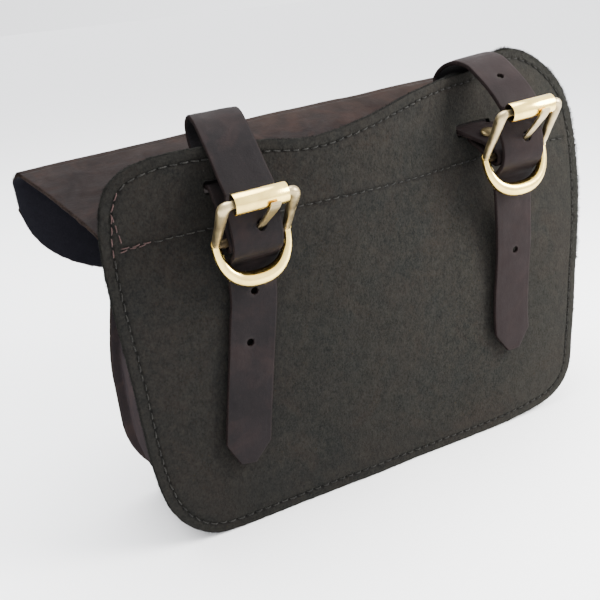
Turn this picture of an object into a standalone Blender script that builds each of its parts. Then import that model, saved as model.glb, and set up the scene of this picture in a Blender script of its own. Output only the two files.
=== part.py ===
"""Leather saddle bag: back panel with two raised ears, gusseted body, fold-over flap and
two buckled hanging straps. Written in millimetres and placed in metres, +Z up, standing
on the floor. The back of the bag faces +Y, the flap folds over the front, towards -Y."""

from math import atan2, cos, pi, radians, sin, tanh

import bmesh
import bpy
from mathutils import Matrix, Vector

MM = 0.001

# ---- driving dimensions, mm -------------------------------------------------------
BACK_FACE_Y = 24.7        # the back panel's outer face, from the bag's own centre plane
GAP = 0.4                 # between sheets that lie on each other
PANEL_T = 2.6
LINING_T = 2.0
GUSSET_T = 2.0
FLAP_T = 2.4
STRAP_T = 2.5
STRAP_W = 25.0

SEAM_Z = 164.5            # the stitch line that holds the flap
LINING_Z = 158.0          # lower edge of the lining behind the ears
BODY_TOP_Z = 150.0        # mouth of the body
FRONT_Y = -66.5           # middle of the front panel at its edge
FRONT_BULGE = 4.0
STITCH_INSET = 5.5
FLANGE = 6.5              # width of the gusset's sewn edges
THREAD_R = 0.4

LEAN_DEPTH = 10.8         # how far the upper right-hand side leans over the body
LEAN_X = -38.0
LEAN_SPREAD = 48.0
LEAN_CUT = 0.06

# outline of the back panel (x, z), anticlockwise from the bottom seen from the front
BACK_OUTLINE = [
    (0, 0), (60, 0), (100, 0), (118, 3), (131, 13.5), (139, 29), (143, 55), (145, 100),
    (147.5, 145), (146.5, 175), (139, 193.5), (122, 201), (95, 202.3), (63, 200.5),
    (35, 197.5), (3, 201.5), (-30, 208), (-62, 211.6), (-82, 213.2), (-104, 220.6),
    (-123, 219), (-140, 208.5), (-152, 191), (-155.5, 165), (-152.5, 130), (-145, 90),
    (-137, 47), (-131, 19.5), (-116, 6), (-92, 1.5), (-60, 0)]
FRONT_HALF_W = 141.5
FRONT_TOP_HALF_W = 131.0
FRONT_CORNER_R = 50.0

# flap
FLAP_REAR_HALF_W = 146.0
FLAP_HINGE_HALF_W = 162.8
FLAP_MAX_HALF_W = 166.5
RIDGE_Z = 199.5           # height of the flap's front fold at x = 0
RIDGE_SLOPE = -0.0454      # the fold rises towards -X
RIDGE_BACK_Y = -82.7      # where the fold begins, and where the flap bends when it lifts
FOLD_R = 6.3
FOLD_LEAD = 3.0
FOLD_TURN = radians(94)
FLAP_SIDE = 13.7          # straight side of the flap, along the leather, below the hinge
FLAP_DROP = 82.0          # whole length of the flap's front, along the leather
FLAP_SETBACK = 1.0        # the flap's top starts this far in front of its sewn margin
MARGIN_ABOVE = 3.0        # the sewn margin ends this far above the stitch line
BEND_GAP = 0.6            # between the flap's pieces where the leather bends

# buckle, in its own axes: x along the bar, y outward, z up, the centre bar at the origin
BAR_R = 2.2
BAR_HALF = 17.5
WIRE_R = 2.4
RING_R = 3.9                # thickest at the bottom of the ring
RING_END_R = 2.4
RING_DROP = 20.2
ROLLER_BAR_R = 1.7
ROLLER_BAR_HALF = 16.5
ROLLER_R = 4.8
ROLLER_BORE_R = 2.15
ROLLER_HALF = 12.4
FRAME_REACH = 32.0
FRAME_TILT = radians(48)
TONGUE_ANGLE = radians(30.5)
TONGUE_LENGTH = 38.0
TONGUE_X = -1.0            # the eye sits a little off the middle of the bar
TONGUE_SKEW = -0.12        # and the tongue leans to the same side
TONGUE_W = 3.8
TONGUE_T = 2.0
TONGUE_HOLE_AT = 12.9     # along the tongue

RIVET_CAP_R = 4.5
RIVET_POST_R = 1.6
HOLE_R = 2.0
TIP_LENGTH = 11.0
TIP_HALF_W = 4.5

# strap slits through the back panel and the lining
SLIT_H = 6.4
SLIT_HALF_W = 13.4
FOLD_R_BAR = BAR_R + GAP + STRAP_T / 2   # middle of the strap where it turns round the bar
FOLD_CLEAR_R = FOLD_R_BAR + STRAP_T / 2 + 0.7
SLOT_W = 6.6
SLOT_BACK = 6.5


def lean(x, z):
    """The back panel's outer face: flat on the left, leaning in towards the upper right."""
    side = max(0.0, 1.0 - tanh((x - LEAN_X) / LEAN_SPREAD) - LEAN_CUT)
    return -LEAN_DEPTH * side * (max(z, 0.0) / SEAM_Z) ** 1.6


def front(x, z):
    """Middle of the front panel, slightly bulged forward."""
    across = max(0.0, 1 - (x / FRONT_HALF_W) ** 2)
    up = max(0.0, 1 - ((z - 75) / 75) ** 2)
    return FRONT_Y - FRONT_BULGE * across * up


# ---- scene and materials ----------------------------------------------------------
for old in list(bpy.data.objects):
    bpy.data.objects.remove(old, do_unlink=True)

bag_origin = bpy.data.objects.new("bag_origin", None)
bag_origin.location = (0, BACK_FACE_Y * MM, 0)
bpy.context.scene.collection.objects.link(bag_origin)


def material(name, color, roughness, metallic=0.0):
    mat = bpy.data.materials.new(name)
    mat.use_nodes = True
    shader = mat.node_tree.nodes["Principled BSDF"]
    shader.inputs["Base Color"].default_value = (*color, 1)
    shader.inputs["Roughness"].default_value = roughness
    shader.inputs["Metallic"].default_value = metallic
    return mat


SUEDE = material("suede_olive", (0.040, 0.038, 0.027), 0.95)
LEATHER = material("leather_dark_brown", (0.052, 0.037, 0.034), 0.55)
FLAP_LEATHER = material("leather_flap_brown", (0.070, 0.045, 0.036), 0.5)
BRASS = material("antique_brass", (0.62, 0.48, 0.22), 0.3, 1.0)
THREAD = material("waxed_thread", (0.07, 0.055, 0.035), 0.8)


def add_object(name, bm, mat, parent=bag_origin, smooth=True):
    """Turn a millimetre bmesh into a named object in metres."""
    bmesh.ops.recalc_face_normals(bm, faces=bm.faces)
    bmesh.ops.scale(bm, vec=(MM, MM, MM), verts=bm.verts)
    mesh = bpy.data.meshes.new(name)
    bm.to_mesh(mesh)
    bm.free()
    if smooth:
        mesh.shade_smooth()
        mesh.set_sharp_from_angle(angle=radians(40))
    mesh.materials.append(mat)
    obj = bpy.data.objects.new(name, mesh)
    obj.parent = parent
    bpy.context.scene.collection.objects.link(obj)
    return obj


def boolean(obj, other, operation="DIFFERENCE"):
    """Cut or join with a helper object that isn't part of the bag."""
    other.hide_render = True
    other.display_type = "WIRE"
    mod = obj.modifiers.new(other.name, "BOOLEAN")
    mod.operation = operation
    mod.object = other
    mod.solver = "EXACT"


# ---- curves -----------------------------------------------------------------------
def spline(points, per_span, closed=False):
    """Smooth curve through the points (tuples of any one length)."""
    n = len(points)
    spans = n if closed else n - 1
    out = []
    for i in range(spans):
        if closed:
            p0, p1, p2, p3 = (points[(i + k) % n] for k in (-1, 0, 1, 2))
        else:
            p0, p1, p2, p3 = (points[min(max(i + k, 0), n - 1)] for k in (-1, 0, 1, 2))
        for s in range(per_span):
            t = s / per_span
            out.append(tuple(
                0.5 * (2 * b + (c - a) * t + (2 * a - 5 * b + 4 * c - d) * t * t
                       + (3 * b - a - 3 * c + d) * t ** 3)
                for a, b, c, d in zip(p0, p1, p2, p3)))
    if not closed:
        out.append(tuple(points[-1]))
    return out


def resample(points, count, closed=False):
    """The same curve with evenly spaced points."""
    pts = [Vector(p) for p in points]
    if closed:
        pts.append(pts[0])
    ends = [0.0]
    for a, b in zip(pts, pts[1:]):
        ends.append(ends[-1] + (b - a).length)
    steps = count if closed else count - 1
    out = []
    i = 0
    for k in range(count):
        d = ends[-1] * k / steps
        while i < len(ends) - 2 and ends[i + 1] < d:
            i += 1
        span = max(ends[i + 1] - ends[i], 1e-9)
        out.append(pts[i].lerp(pts[i + 1], (d - ends[i]) / span))
    return out


def inset(points, distance, closed=True):
    """Move a 2-D curve to its left by a distance."""
    n = len(points)
    out = []
    for i, p in enumerate(points):
        a = points[(i - 1) % n] if closed else points[max(i - 1, 0)]
        b = points[(i + 1) % n] if closed else points[min(i + 1, n - 1)]
        d = (b - a).normalized()
        out.append(p + Vector((-d.y, d.x)) * distance)
    return out


def back_outline(count, shrink=0.0):
    dense = [(x, max(z, 0.0)) for x, z in spline(BACK_OUTLINE, 8, closed=True)]
    pts = resample(dense, count, closed=True)
    return inset(pts, shrink) if shrink else pts


def front_half(z):
    """Half width of the front panel at a height above its lower corners."""
    t = min(max((z - 75) / (BODY_TOP_Z - 75), 0), 1)
    return FRONT_HALF_W + (FRONT_TOP_HALF_W - FRONT_HALF_W) * t * t * (3 - 2 * t)


def front_u(count):
    """The front panel's sides and bottom, from its top left corner round to its top right."""
    side = [(front_half(z), z) for z in range(int(BODY_TOP_Z), int(FRONT_CORNER_R), -10)]
    centre = FRONT_HALF_W - FRONT_CORNER_R
    arc = []
    for k in range(9):
        a = radians(90) * k / 8
        arc.append((centre + FRONT_CORNER_R * cos(a), FRONT_CORNER_R * (1 - sin(a))))
    half = side + arc
    whole = half + [(-x, z) for x, z in reversed(half)]
    return resample(whole, count)


# ---- solids -----------------------------------------------------------------------
def skin(bm, rows, closed_rows=False, closed_cols=False):
    """Quads over a grid of vertices."""
    row_count = len(rows)
    col_count = len(rows[0])
    for i in range(row_count if closed_rows else row_count - 1):
        for j in range(col_count if closed_cols else col_count - 1):
            a = rows[i][j]
            b = rows[(i + 1) % row_count][j]
            c = rows[(i + 1) % row_count][(j + 1) % col_count]
            d = rows[i][(j + 1) % col_count]
            bm.faces.new((a, b, c, d))


def rings_solid(outline, centre, rings, near, far):
    """A sheet inside an outline, as rings shrinking to a centre.
    near and far give the two faces' y from (x, z)."""
    bm = bmesh.new()
    faces = []
    middle = Vector(centre)
    for face_y in (near, far):
        rows = []
        for r in range(rings):
            k = 1 - r / rings
            ring = [middle.lerp(p, k) for p in outline]
            rows.append([bm.verts.new((p.x, face_y(p.x, p.y), p.y)) for p in ring])
        skin(bm, rows, closed_cols=True)
        tip = bm.verts.new((middle.x, face_y(*middle), middle.y))
        last = rows[-1]
        for j, v in enumerate(last):
            bm.faces.new((v, last[(j + 1) % len(last)], tip))
        faces.append(rows[0])
    skin(bm, faces, closed_cols=True)
    return bm


def grid_solid(rows, normals, thickness):
    """A sheet from a grid of middle points and their normals."""
    bm = bmesh.new()
    sides = []
    for sign in (1, -1):
        grid = [[bm.verts.new(p + n * (sign * thickness / 2)) for p, n in zip(pr, nr)]
                for pr, nr in zip(rows, normals)]
        skin(bm, grid)
        edge = grid[0] + [r[-1] for r in grid[1:]] + grid[-1][-2::-1]
        edge += [r[0] for r in grid[-2:0:-1]]
        sides.append(edge)
    skin(bm, sides, closed_cols=True)
    return bm


def grid_normals(rows):
    """Normals of a grid of points, from its neighbours."""
    out = []
    last_i = len(rows) - 1
    last_j = len(rows[0]) - 1
    for i in range(last_i + 1):
        line = []
        for j in range(last_j + 1):
            du = rows[min(i + 1, last_i)][j] - rows[max(i - 1, 0)][j]
            dv = rows[i][min(j + 1, last_j)] - rows[i][max(j - 1, 0)]
            line.append(du.cross(dv).normalized())
        out.append(line)
    return out


def tube(points, radii, sides, closed=False):
    """A round wire along points, with its own radius at each."""
    bm = bmesh.new()
    n = len(points)
    rows = []
    normal = None
    for i, p in enumerate(points):
        a = points[(i - 1) % n] if closed else points[max(i - 1, 0)]
        b = points[(i + 1) % n] if closed else points[min(i + 1, n - 1)]
        t = (b - a).normalized()
        if normal is None:
            normal = t.orthogonal().normalized()
        normal = (normal - t * normal.dot(t)).normalized()
        other = t.cross(normal)
        row = []
        for k in range(sides):
            angle = 2 * pi * k / sides
            row.append(bm.verts.new(p + (normal * cos(angle) + other * sin(angle)) * radii[i]))
        rows.append(row)
    if closed:
        # turn the last join so that the rings meet without a twist
        def mismatch(shift):
            return sum((rows[-1][k].co - rows[0][(k + shift) % sides].co).length
                       for k in range(sides))
        shift = min(range(sides), key=mismatch)
        turned = [rows[0][(k + shift) % sides] for k in range(sides)]
        skin(bm, rows, closed_cols=True)
        skin(bm, [rows[-1], turned], closed_cols=True)
    else:
        skin(bm, rows, closed_cols=True)
        bm.faces.new(rows[0])
        bm.faces.new(reversed(rows[-1]))
    return bm


def turned(profile, sides, matrix):
    """A turned piece: profile is a closed loop of (radius, height); radius 0 is on the axis."""
    bm = bmesh.new()
    axis_verts = {}
    rows = []
    for i, (r, h) in enumerate(profile):
        if r == 0:
            v = bm.verts.new((0, 0, h))
            rows.append([v] * sides)
            axis_verts[i] = v
        else:
            rows.append([bm.verts.new((r * cos(2 * pi * k / sides), r * sin(2 * pi * k / sides), h))
                         for k in range(sides)])
    n = len(profile)
    for i in range(n):
        a, b = rows[i], rows[(i + 1) % n]
        if i in axis_verts and (i + 1) % n in axis_verts:
            continue
        for k in range(sides):
            quad = [a[k], b[k], b[(k + 1) % sides], a[(k + 1) % sides]]
            unique = []
            for v in quad:
                if v not in unique:
                    unique.append(v)
            bm.faces.new(unique)
    bmesh.ops.transform(bm, matrix=matrix, verts=bm.verts)
    return bm


def box(size, matrix):
    bm = bmesh.new()
    bmesh.ops.create_cube(bm, size=1)
    bmesh.ops.scale(bm, vec=size, verts=bm.verts)
    bmesh.ops.transform(bm, matrix=matrix, verts=bm.verts)
    return bm


def rod(radius, length, matrix, sides=16):
    bm = bmesh.new()
    bmesh.ops.create_cone(bm, cap_ends=True, segments=sides, radius1=radius, radius2=radius,
                          depth=length)
    bmesh.ops.transform(bm, matrix=matrix, verts=bm.verts)
    return bm


def axes_matrix(x_axis, y_axis, z_axis, origin):
    m = Matrix((x_axis, y_axis, z_axis)).transposed().to_4x4()
    m.translation = origin
    return m


# ---- straps and buckles: where they are -------------------------------------------
class Hanger:
    """One strap with its buckle. The strap runs from the fold round the buckle's centre bar,
    through the slit, up behind the ear, over the top, down through the buckle and hangs."""

    def __init__(self, side, slit, bar, pitch, yaw, roll, rivet_at, rivet_side, fold_length,
                 back, over, tail, slit_hint, loop_hint, tail_holes, spare_holes):
        self.side = side
        self.slit = Vector((slit[0], lean(*slit), slit[1]))
        turn = (Matrix.Rotation(radians(yaw), 4, "Z") @ Matrix.Rotation(radians(pitch), 4, "X")
                @ Matrix.Rotation(radians(roll), 4, "Y"))
        self.pose = Matrix.Translation(bar) @ turn
        self.bar = Vector(bar)
        self.width_hint = (turn @ Vector((1, 0, 0))).normalized()
        self.slit_hint = Vector(slit_hint).normalized()
        self.loop_hint = Vector(loop_hint).normalized()
        self.rivet_at = rivet_at
        self.rivet_side = rivet_side
        self.fold_length = fold_length
        self.back = back
        self.over = over
        self.tail = tail
        self.tail_holes = tail_holes
        self.spare_holes = spare_holes

    def local(self, y, z, x=0.0):
        return self.pose @ Vector((x, y, z))

    def chape_axes(self):
        """Along the folded end from the slit to the bar, and its outward normal."""
        along = self.bar - self.slit
        along.x = 0
        along.normalize()
        outward = self.width_hint.cross(along).normalized()
        if outward.z < 0:
            outward = -outward
        return along, outward


HANGERS = [
    Hanger("left", (81.5, 183.3), (80, 12.5, 159.5), 2.5, -5, 3, 13.5, 0.0, 18.5,
           back=[(81.5, -9.0, 189.5), (81.4, -13.2, 196.5), (81.3, -17.6, 204.5)],
           over=[(81.2, -17.6, 211.0), (81.0, -13.4, 214.9), (80.8, -8.2, 213.4),
                 (80.6, -3.6, 208.8), (80.4, 3.5, 200.8), (80.1, 12, 189.6), (79.8, 18.4, 181.2)],
           tail=[(79.2, 5.3, 137), (79.3, 3.9, 126), (82.0, 3.5, 110), (86.5, 3.5, 85),
                 (91.0, 3.6, 60), (94.6, 4.4, 39.5)],
           slit_hint=(1, 0, 0), loop_hint=(1, -0.03, -0.02),
           tail_holes=[(79.0, 130), (84.4, 104)], spare_holes=[]),
    Hanger("right", (-79.0, 181.3), (-83, 6.5, 170), 11, -9, 4.5, 17.6, 3.9, 24.2,
           back=[(-79.6, -32.9, 189), (-80.4, -38.5, 196), (-81.3, -43.8, 203.5)],
           over=[(-82.2, -45.2, 209), (-82.4, -42, 214), (-82.6, -34.5, 218.0),
                 (-82.8, -25.5, 219.4), (-83, -16, 217.5), (-83, -7.4, 212.4),
                 (-83.2, 1, 206.2), (-83.4, 7.8, 199.6), (-83.6, 12.8, 192.6)],
           tail=[(-85.4, 2.5, 147), (-87.4, 0.4, 135), (-88.8, -1.4, 115), (-87.8, -2.0, 95),
                 (-85.0, -0.4, 76), (-84.0, 1.2, 62), (-83.8, 2.2, 50.5)],
           slit_hint=(1, 0.13, 0), loop_hint=(1, 0, -0.09),
           tail_holes=[(-89.4, 110.8)], spare_holes=[(-83.0, 209.5)]),
]

# the strap through the buckle, in the buckle's own y and z
THROUGH_BUCKLE = [(10.6, 14.6), (TONGUE_HOLE_AT * cos(TONGUE_ANGLE),
                                 TONGUE_HOLE_AT * sin(TONGUE_ANGLE)),
                  (10.0, -0.1), (6.4, -5.4), (0.3, -8.9), (-4.8, -12.6)]


# ---- the body of the bag ----------------------------------------------------------
def slit_cutter(hanger, target):
    turn = Matrix.Rotation(atan2(hanger.slit_hint.y, 1), 4, "Z")
    bm = box((2 * SLIT_HALF_W, 24, SLIT_H), Matrix.Translation(hanger.slit) @ turn)
    return add_object(f"cut_{target}_{hanger.side}", bm, SUEDE)


def build_back_panel():
    bm = rings_solid(back_outline(64), (0, 105), 8, lean, lambda x, z: lean(x, z) - PANEL_T)
    panel = add_object("back_panel", bm, SUEDE)
    for hanger in HANGERS:
        boolean(panel, slit_cutter(hanger, "panel"))


def build_lining():
    outline = back_outline(300, 1.0)
    left = max(p.x for p in outline if p.y > LINING_Z + 10) - 2.0
    right = min(p.x for p in outline if p.y > LINING_Z + 10) + 2.0
    columns = 34
    rear = PANEL_T + GAP
    bm = bmesh.new()
    grids = []
    for depth in (rear, rear + LINING_T):
        rows = [[], [], [], []]
        for j in range(columns + 1):
            share = 0.6 * (1 - cos(pi * j / columns)) / 2 + 0.4 * j / columns
            x = left + (right - left) * share
            near = sorted((p for p in outline if p.y > LINING_Z + 4), key=lambda p: abs(p.x - x))
            top = max(p.y for p in near[:3]) - 0.5
            for i, row in enumerate(rows):
                z = LINING_Z + (top - LINING_Z) * i / 3
                row.append(bm.verts.new((x, lean(x, z) - depth, z)))
        skin(bm, rows)
        edge = rows[0] + [r[-1] for r in rows[1:]] + rows[-1][-2::-1]
        grids.append(edge + [r[0] for r in rows[-2:0:-1]])
    skin(bm, grids, closed_cols=True)
    lining = add_object("ear_lining", bm, SUEDE)
    for hanger in HANGERS:
        boolean(lining, slit_cutter(hanger, "lining"))


def build_front_panel():
    sides = front_u(42)
    top = [sides[-1].lerp(sides[0], k / 11) for k in range(1, 11)]
    outline = sides + [Vector((p.x, p.y - 5 * (1 - (p.x / FRONT_TOP_HALF_W) ** 2))) for p in top]
    half = PANEL_T / 2
    bm = rings_solid(outline, (0, 78), 5, lambda x, z: front(x, z) + half,
                     lambda x, z: front(x, z) - half)
    add_object("front_panel", bm, LEATHER)


def rear_u(count):
    """The back panel's sides and bottom below the body's mouth, left to right."""
    low = [p for p in back_outline(400) if p.y <= BODY_TOP_Z]
    start = max(range(len(low)), key=lambda i: (low[i] - low[i - 1]).length)
    loop = low[start:] + low[:start]
    if loop[0].x < loop[-1].x:
        loop.reverse()
    return resample(loop, count)


def build_gusset():
    stations = 46
    rear = rear_u(stations)
    fore = front_u(stations)
    rear_in = inset(rear, -1.0, closed=False)
    fore_in = inset(fore, -1.0, closed=False)
    bm = bmesh.new()
    rows = []
    web = 4
    for k in range(stations):
        rear_dir = rear_in[k] - rear[k]
        fore_dir = fore_in[k] - fore[k]

        def at(depth, inwards, back_off=None, front_off=None):
            """Point at a share of the depth (0 rear, 1 front) and a distance inwards."""
            p = rear[k].lerp(fore[k], depth)
            p = p + rear_dir.lerp(fore_dir, depth) * inwards
            if back_off is not None:
                return bm.verts.new((p.x, lean(p.x, p.y) - PANEL_T - GAP - back_off, p.y))
            if front_off is not None:
                y = front(p.x, p.y) + PANEL_T / 2 + GAP + front_off
                return bm.verts.new((p.x, y, p.y))
            y0 = lean(p.x, p.y) - PANEL_T - GAP
            y1 = front(p.x, p.y) + PANEL_T / 2 + GAP
            return bm.verts.new((p.x, y0 + (y1 - y0) * depth, p.y))

        inner = FLANGE + GUSSET_T
        row = [at(0, 0.9, back_off=0), at(0, inner, back_off=0)]
        row += [at(d / web, inner - 3 * sin(pi * d / web)) for d in range(1, web)]
        row += [at(1, inner, front_off=0), at(1, 0.9, front_off=0)]
        row += [at(1, 0.9, front_off=GUSSET_T), at(1, FLANGE, front_off=GUSSET_T)]
        row += [at(d / web, FLANGE - 3 * sin(pi * d / web)) for d in range(web - 1, 0, -1)]
        row += [at(0, FLANGE, back_off=GUSSET_T), at(0, 0.9, back_off=GUSSET_T)]
        rows.append(row)
    skin(bm, rows, closed_cols=True)
    # each end is capped along the strip's own section
    for row in (rows[0], rows[-1]):
        n = len(row)
        pairs = [(0, n - 1), (1, n - 2)]
        pairs += [(1 + d, n - 2 - d) for d in range(1, web)]
        pairs += [(web + 1, n - 2 - web), (web + 2, n - 3 - web)]
        for (a, b), (c, d) in zip(pairs, pairs[1:]):
            bm.faces.new((row[a], row[c], row[d], row[b]))
    add_object("gusset", bm, LEATHER)


# ---- the flap ---------------------------------------------------------------------
def ridge_z(x):
    return RIDGE_Z + RIDGE_SLOPE * x


def seam_y(x, z):
    """Face of the flap's sewn margin that lies against the lining."""
    return lean(x, z) - PANEL_T - GAP - LINING_T - GAP


def build_flap_margin():
    rows = []
    for z in (LINING_Z + 0.5, SEAM_Z, SEAM_Z + MARGIN_ABOVE):
        row = []
        for k in range(29):
            x = FLAP_REAR_HALF_W * (1 - k / 14)
            row.append(Vector((x - 0.6 * x / FLAP_REAR_HALF_W, seam_y(x, z) - FLAP_T / 2, z)))
        rows.append(row)
    normals = [[Vector((0, 1, 0))] * 29 for _ in rows]
    add_object("flap_seam_margin", grid_solid(rows, normals, FLAP_T), FLAP_LEATHER)


def flap_top_point(s, t):
    """s across (-1 to 1), t from the seam to the front fold."""
    half = FLAP_REAR_HALF_W + (FLAP_HINGE_HALF_W - FLAP_REAR_HALF_W) * t
    x = s * half
    y0 = seam_y(s * FLAP_REAR_HALF_W, SEAM_Z + 8) - FLAP_T / 2 - FLAP_SETBACK
    z0 = SEAM_Z + MARGIN_ABOVE + BEND_GAP + FLAP_T / 2
    y = y0 + (RIDGE_BACK_Y + 1.6 - y0) * t
    z1 = ridge_z(x) - 1.0
    rise = t ** 0.85
    return Vector((x, y, z0 + (z1 - z0) * rise))


def build_flap_top():
    rows = [[flap_top_point(1 - 2 * j / 24, i / 7) for j in range(25)] for i in range(8)]
    add_object("flap_top", grid_solid(rows, grid_normals(rows), FLAP_T), FLAP_LEATHER)


def flap_front_profile(v):
    """Distance in front of the hinge and height below the ridge, at v along the leather."""
    if v <= FOLD_LEAD:
        return v, 1.0 - v / FOLD_LEAD
    bend = FOLD_R * FOLD_TURN
    if v <= FOLD_LEAD + bend:
        a = (v - FOLD_LEAD) / FOLD_R
        return FOLD_LEAD + FOLD_R * sin(a), FOLD_R * (1 - cos(a))
    rest = v - FOLD_LEAD - bend
    return (FOLD_LEAD + FOLD_R * sin(FOLD_TURN) + rest * cos(FOLD_TURN) - 0.0006 * rest ** 2,
            FOLD_R * (1 - cos(FOLD_TURN)) + rest * sin(FOLD_TURN))


def flap_front_point(s, t):
    """s across (-1 to 1), t from the hinge down to the free edge."""
    free = (1 - abs(s) ** 2.8) ** (1 / 2.8)
    v = t * (FLAP_SIDE + (FLAP_DROP - FLAP_SIDE) * free)
    spread = min(v / FLAP_SIDE, 1.0)
    half = (FLAP_HINGE_HALF_W
            + (FLAP_MAX_HALF_W - FLAP_HINGE_HALF_W) * spread * spread * (3 - 2 * spread))
    x = s * half
    ahead, below = flap_front_profile(v)
    return Vector((x, RIDGE_BACK_Y - ahead, ridge_z(x) - below))


def build_flap_front():
    columns = 30
    # rows lie close together in the fold, both at the middle and at the short sides
    shares = (0, 0.018, 0.037, 0.061, 0.085, 0.116, 0.146, 0.183, 0.24, 0.32, 0.43, 0.55, 0.68,
              0.84, 1)
    rows = []
    for t in shares:
        row = []
        for j in range(columns + 1):
            s = cos(pi * j / columns)
            s = 0.55 * s + 0.45 * (1 - 2 * j / columns)
            row.append(flap_front_point(s, t))
        rows.append(row)
    add_object("flap_front", grid_solid(rows, grid_normals(rows), FLAP_T), FLAP_LEATHER)


# ---- straps -----------------------------------------------------------------------
def strap_stations(hanger):
    """Centre points with a width direction, from the folded end to the tip of the tail."""
    along, outward = hanger.chape_axes()
    bar = hanger.bar
    hint = hanger.width_hint
    pts = []
    layer = (STRAP_T + GAP + 0.1) / 2
    pts.append((bar - along * hanger.fold_length - outward * layer, hint))
    pts.append((bar - along * (hanger.fold_length * 0.62) - outward * (layer + 0.3), hint))
    pts.append((bar - along * 5.5 - outward * (FOLD_R_BAR - 0.3), hint))
    for k in range(9):
        a = radians(-90 + 22.5 * k)
        pts.append((bar + along * (FOLD_R_BAR * cos(a)) + outward * (FOLD_R_BAR * sin(a)), hint))
    pts.append((bar - along * 5.5 + outward * (FOLD_R_BAR - 0.3), hint))
    pts.append((bar - along * (hanger.rivet_at - 1) + outward * (layer + 0.3), hint))
    middle = (hint + hanger.slit_hint).normalized()
    slit = hanger.slit
    pts.append((slit + Vector((0, 2.4, -0.6)), middle))
    pts.append((slit + Vector((0, -2.0, 0)), hanger.slit_hint))
    pts.append((slit + Vector((0, -6.2, 1.4)), hanger.slit_hint))
    for p in hanger.back:
        pts.append((Vector(p), hanger.slit_hint))
    for p in hanger.over:
        pts.append((Vector(p), hanger.loop_hint))
    for y, z in THROUGH_BUCKLE:
        pts.append((hanger.local(y, z), hint))
    flat = Vector((1, 0, 0))
    for p in hanger.tail:
        pts.append((Vector(p), flat))
    raw = [(*p, *w) for p, w in pts]
    return spline(raw, 3)


def fold_slot(wide, along, outward, at):
    """Cutter of the slot in the fold, for the tongue's eye: round over the bar, straight behind."""
    outline = [(FOLD_CLEAR_R * cos(radians(a)), FOLD_CLEAR_R * sin(radians(a)))
               for a in range(-90, 91, 15)]
    outline += [(-SLOT_BACK, FOLD_CLEAR_R), (-SLOT_BACK, -FOLD_CLEAR_R)]
    bm = bmesh.new()
    rows = []
    for side in (-SLOT_W / 2, SLOT_W / 2):
        rows.append([bm.verts.new(at + wide * side + along * a + outward * b)
                     for a, b in outline])
    skin(bm, rows, closed_cols=True)
    bm.faces.new(rows[0])
    bm.faces.new(reversed(rows[-1]))
    return bm


def build_strap(hanger):
    stations = strap_stations(hanger)
    points = [Vector(s[:3]) for s in stations]
    hints = [Vector(s[3:]) for s in stations]
    keep = [0]
    for i in range(1, len(points) - 1):
        if (points[i] - points[keep[-1]]).length > 2.2:
            keep.append(i)
    keep.append(len(points) - 1)
    points = [points[i] for i in keep]
    hints = [hints[i] for i in keep]
    lengths = [0.0]
    for a, b in zip(points, points[1:]):
        lengths.append(lengths[-1] + (b - a).length)
    # a station where the pointed tip begins
    tip_start = lengths[-1] - TIP_LENGTH
    i = max(k for k, d in enumerate(lengths) if d < tip_start)
    share = (tip_start - lengths[i]) / (lengths[i + 1] - lengths[i])
    points.insert(i + 1, points[i].lerp(points[i + 1], share))
    hints.insert(i + 1, hints[i].lerp(hints[i + 1], share))
    lengths.insert(i + 1, tip_start)
    bm = bmesh.new()
    rows = []
    last = len(points) - 1
    for i, p in enumerate(points):
        tangent = (points[min(i + 1, last)] - points[max(i - 1, 0)]).normalized()
        wide = (hints[i] - tangent * hints[i].dot(tangent)).normalized()
        normal = tangent.cross(wide).normalized()
        half = STRAP_W / 2
        if lengths[i] > tip_start:
            half += (TIP_HALF_W - half) * (lengths[i] - tip_start) / TIP_LENGTH
        corners = [(half, 1), (half, -1), (-half, -1), (-half, 1)]
        rows.append([bm.verts.new(p + wide * w + normal * (n * STRAP_T / 2)) for w, n in corners])
    skin(bm, rows, closed_cols=True)
    bm.faces.new(rows[0])
    bm.faces.new(reversed(rows[-1]))
    strap = add_object(f"strap_{hanger.side}", bm, LEATHER)

    along, outward = hanger.chape_axes()
    wide = outward.cross(along).normalized()
    slot = fold_slot(wide, along, outward, hanger.bar + hanger.width_hint * TONGUE_X)
    boolean(strap, add_object(f"cut_slot_{hanger.side}", slot, BRASS))
    # hole that the tongue passes through
    aim = Vector((0, cos(TONGUE_ANGLE), sin(TONGUE_ANGLE)))
    hole_x = TONGUE_X + TONGUE_SKEW * (TONGUE_HOLE_AT - BAR_R)
    at = hanger.local(aim.y * TONGUE_HOLE_AT, aim.z * TONGUE_HOLE_AT, hole_x)
    turn = hanger.pose.to_3x3()
    across = turn @ Vector((0, -aim.z, aim.y))
    hole = box((5.0, 8.0, 5.2), axes_matrix(turn @ Vector((1, 0, 0)), turn @ aim, across, at))
    boolean(strap, add_object(f"cut_tongue_hole_{hanger.side}", hole, BRASS))
    # rivet holes through both layers of the fold
    rivet = hanger.bar - along * hanger.rivet_at + hanger.width_hint * hanger.rivet_side
    shank = rod(RIVET_POST_R + 0.4, 14, axes_matrix(wide, along, outward, rivet), 12)
    boolean(strap, add_object(f"cut_rivet_{hanger.side}", shank, BRASS))
    # spare holes
    for number, (x, z) in enumerate(hanger.tail_holes + hanger.spare_holes):
        near = min(range(len(points)),
                   key=lambda i: (points[i].x - x) ** 2 + (points[i].z - z) ** 2
                   - (1e3 if lengths[i] > lengths[-1] * 0.45 else 0))
        centre = points[near].copy()
        centre.x = x
        tangent = (points[near + 1] - points[near - 1]).normalized()
        normal = tangent.cross(hints[near]).normalized()
        side = normal.cross(tangent)
        punch = rod(HOLE_R, 8, axes_matrix(side, tangent, normal, centre), 12)
        boolean(strap, add_object(f"cut_hole_{hanger.side}_{number}", punch, BRASS))


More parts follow.
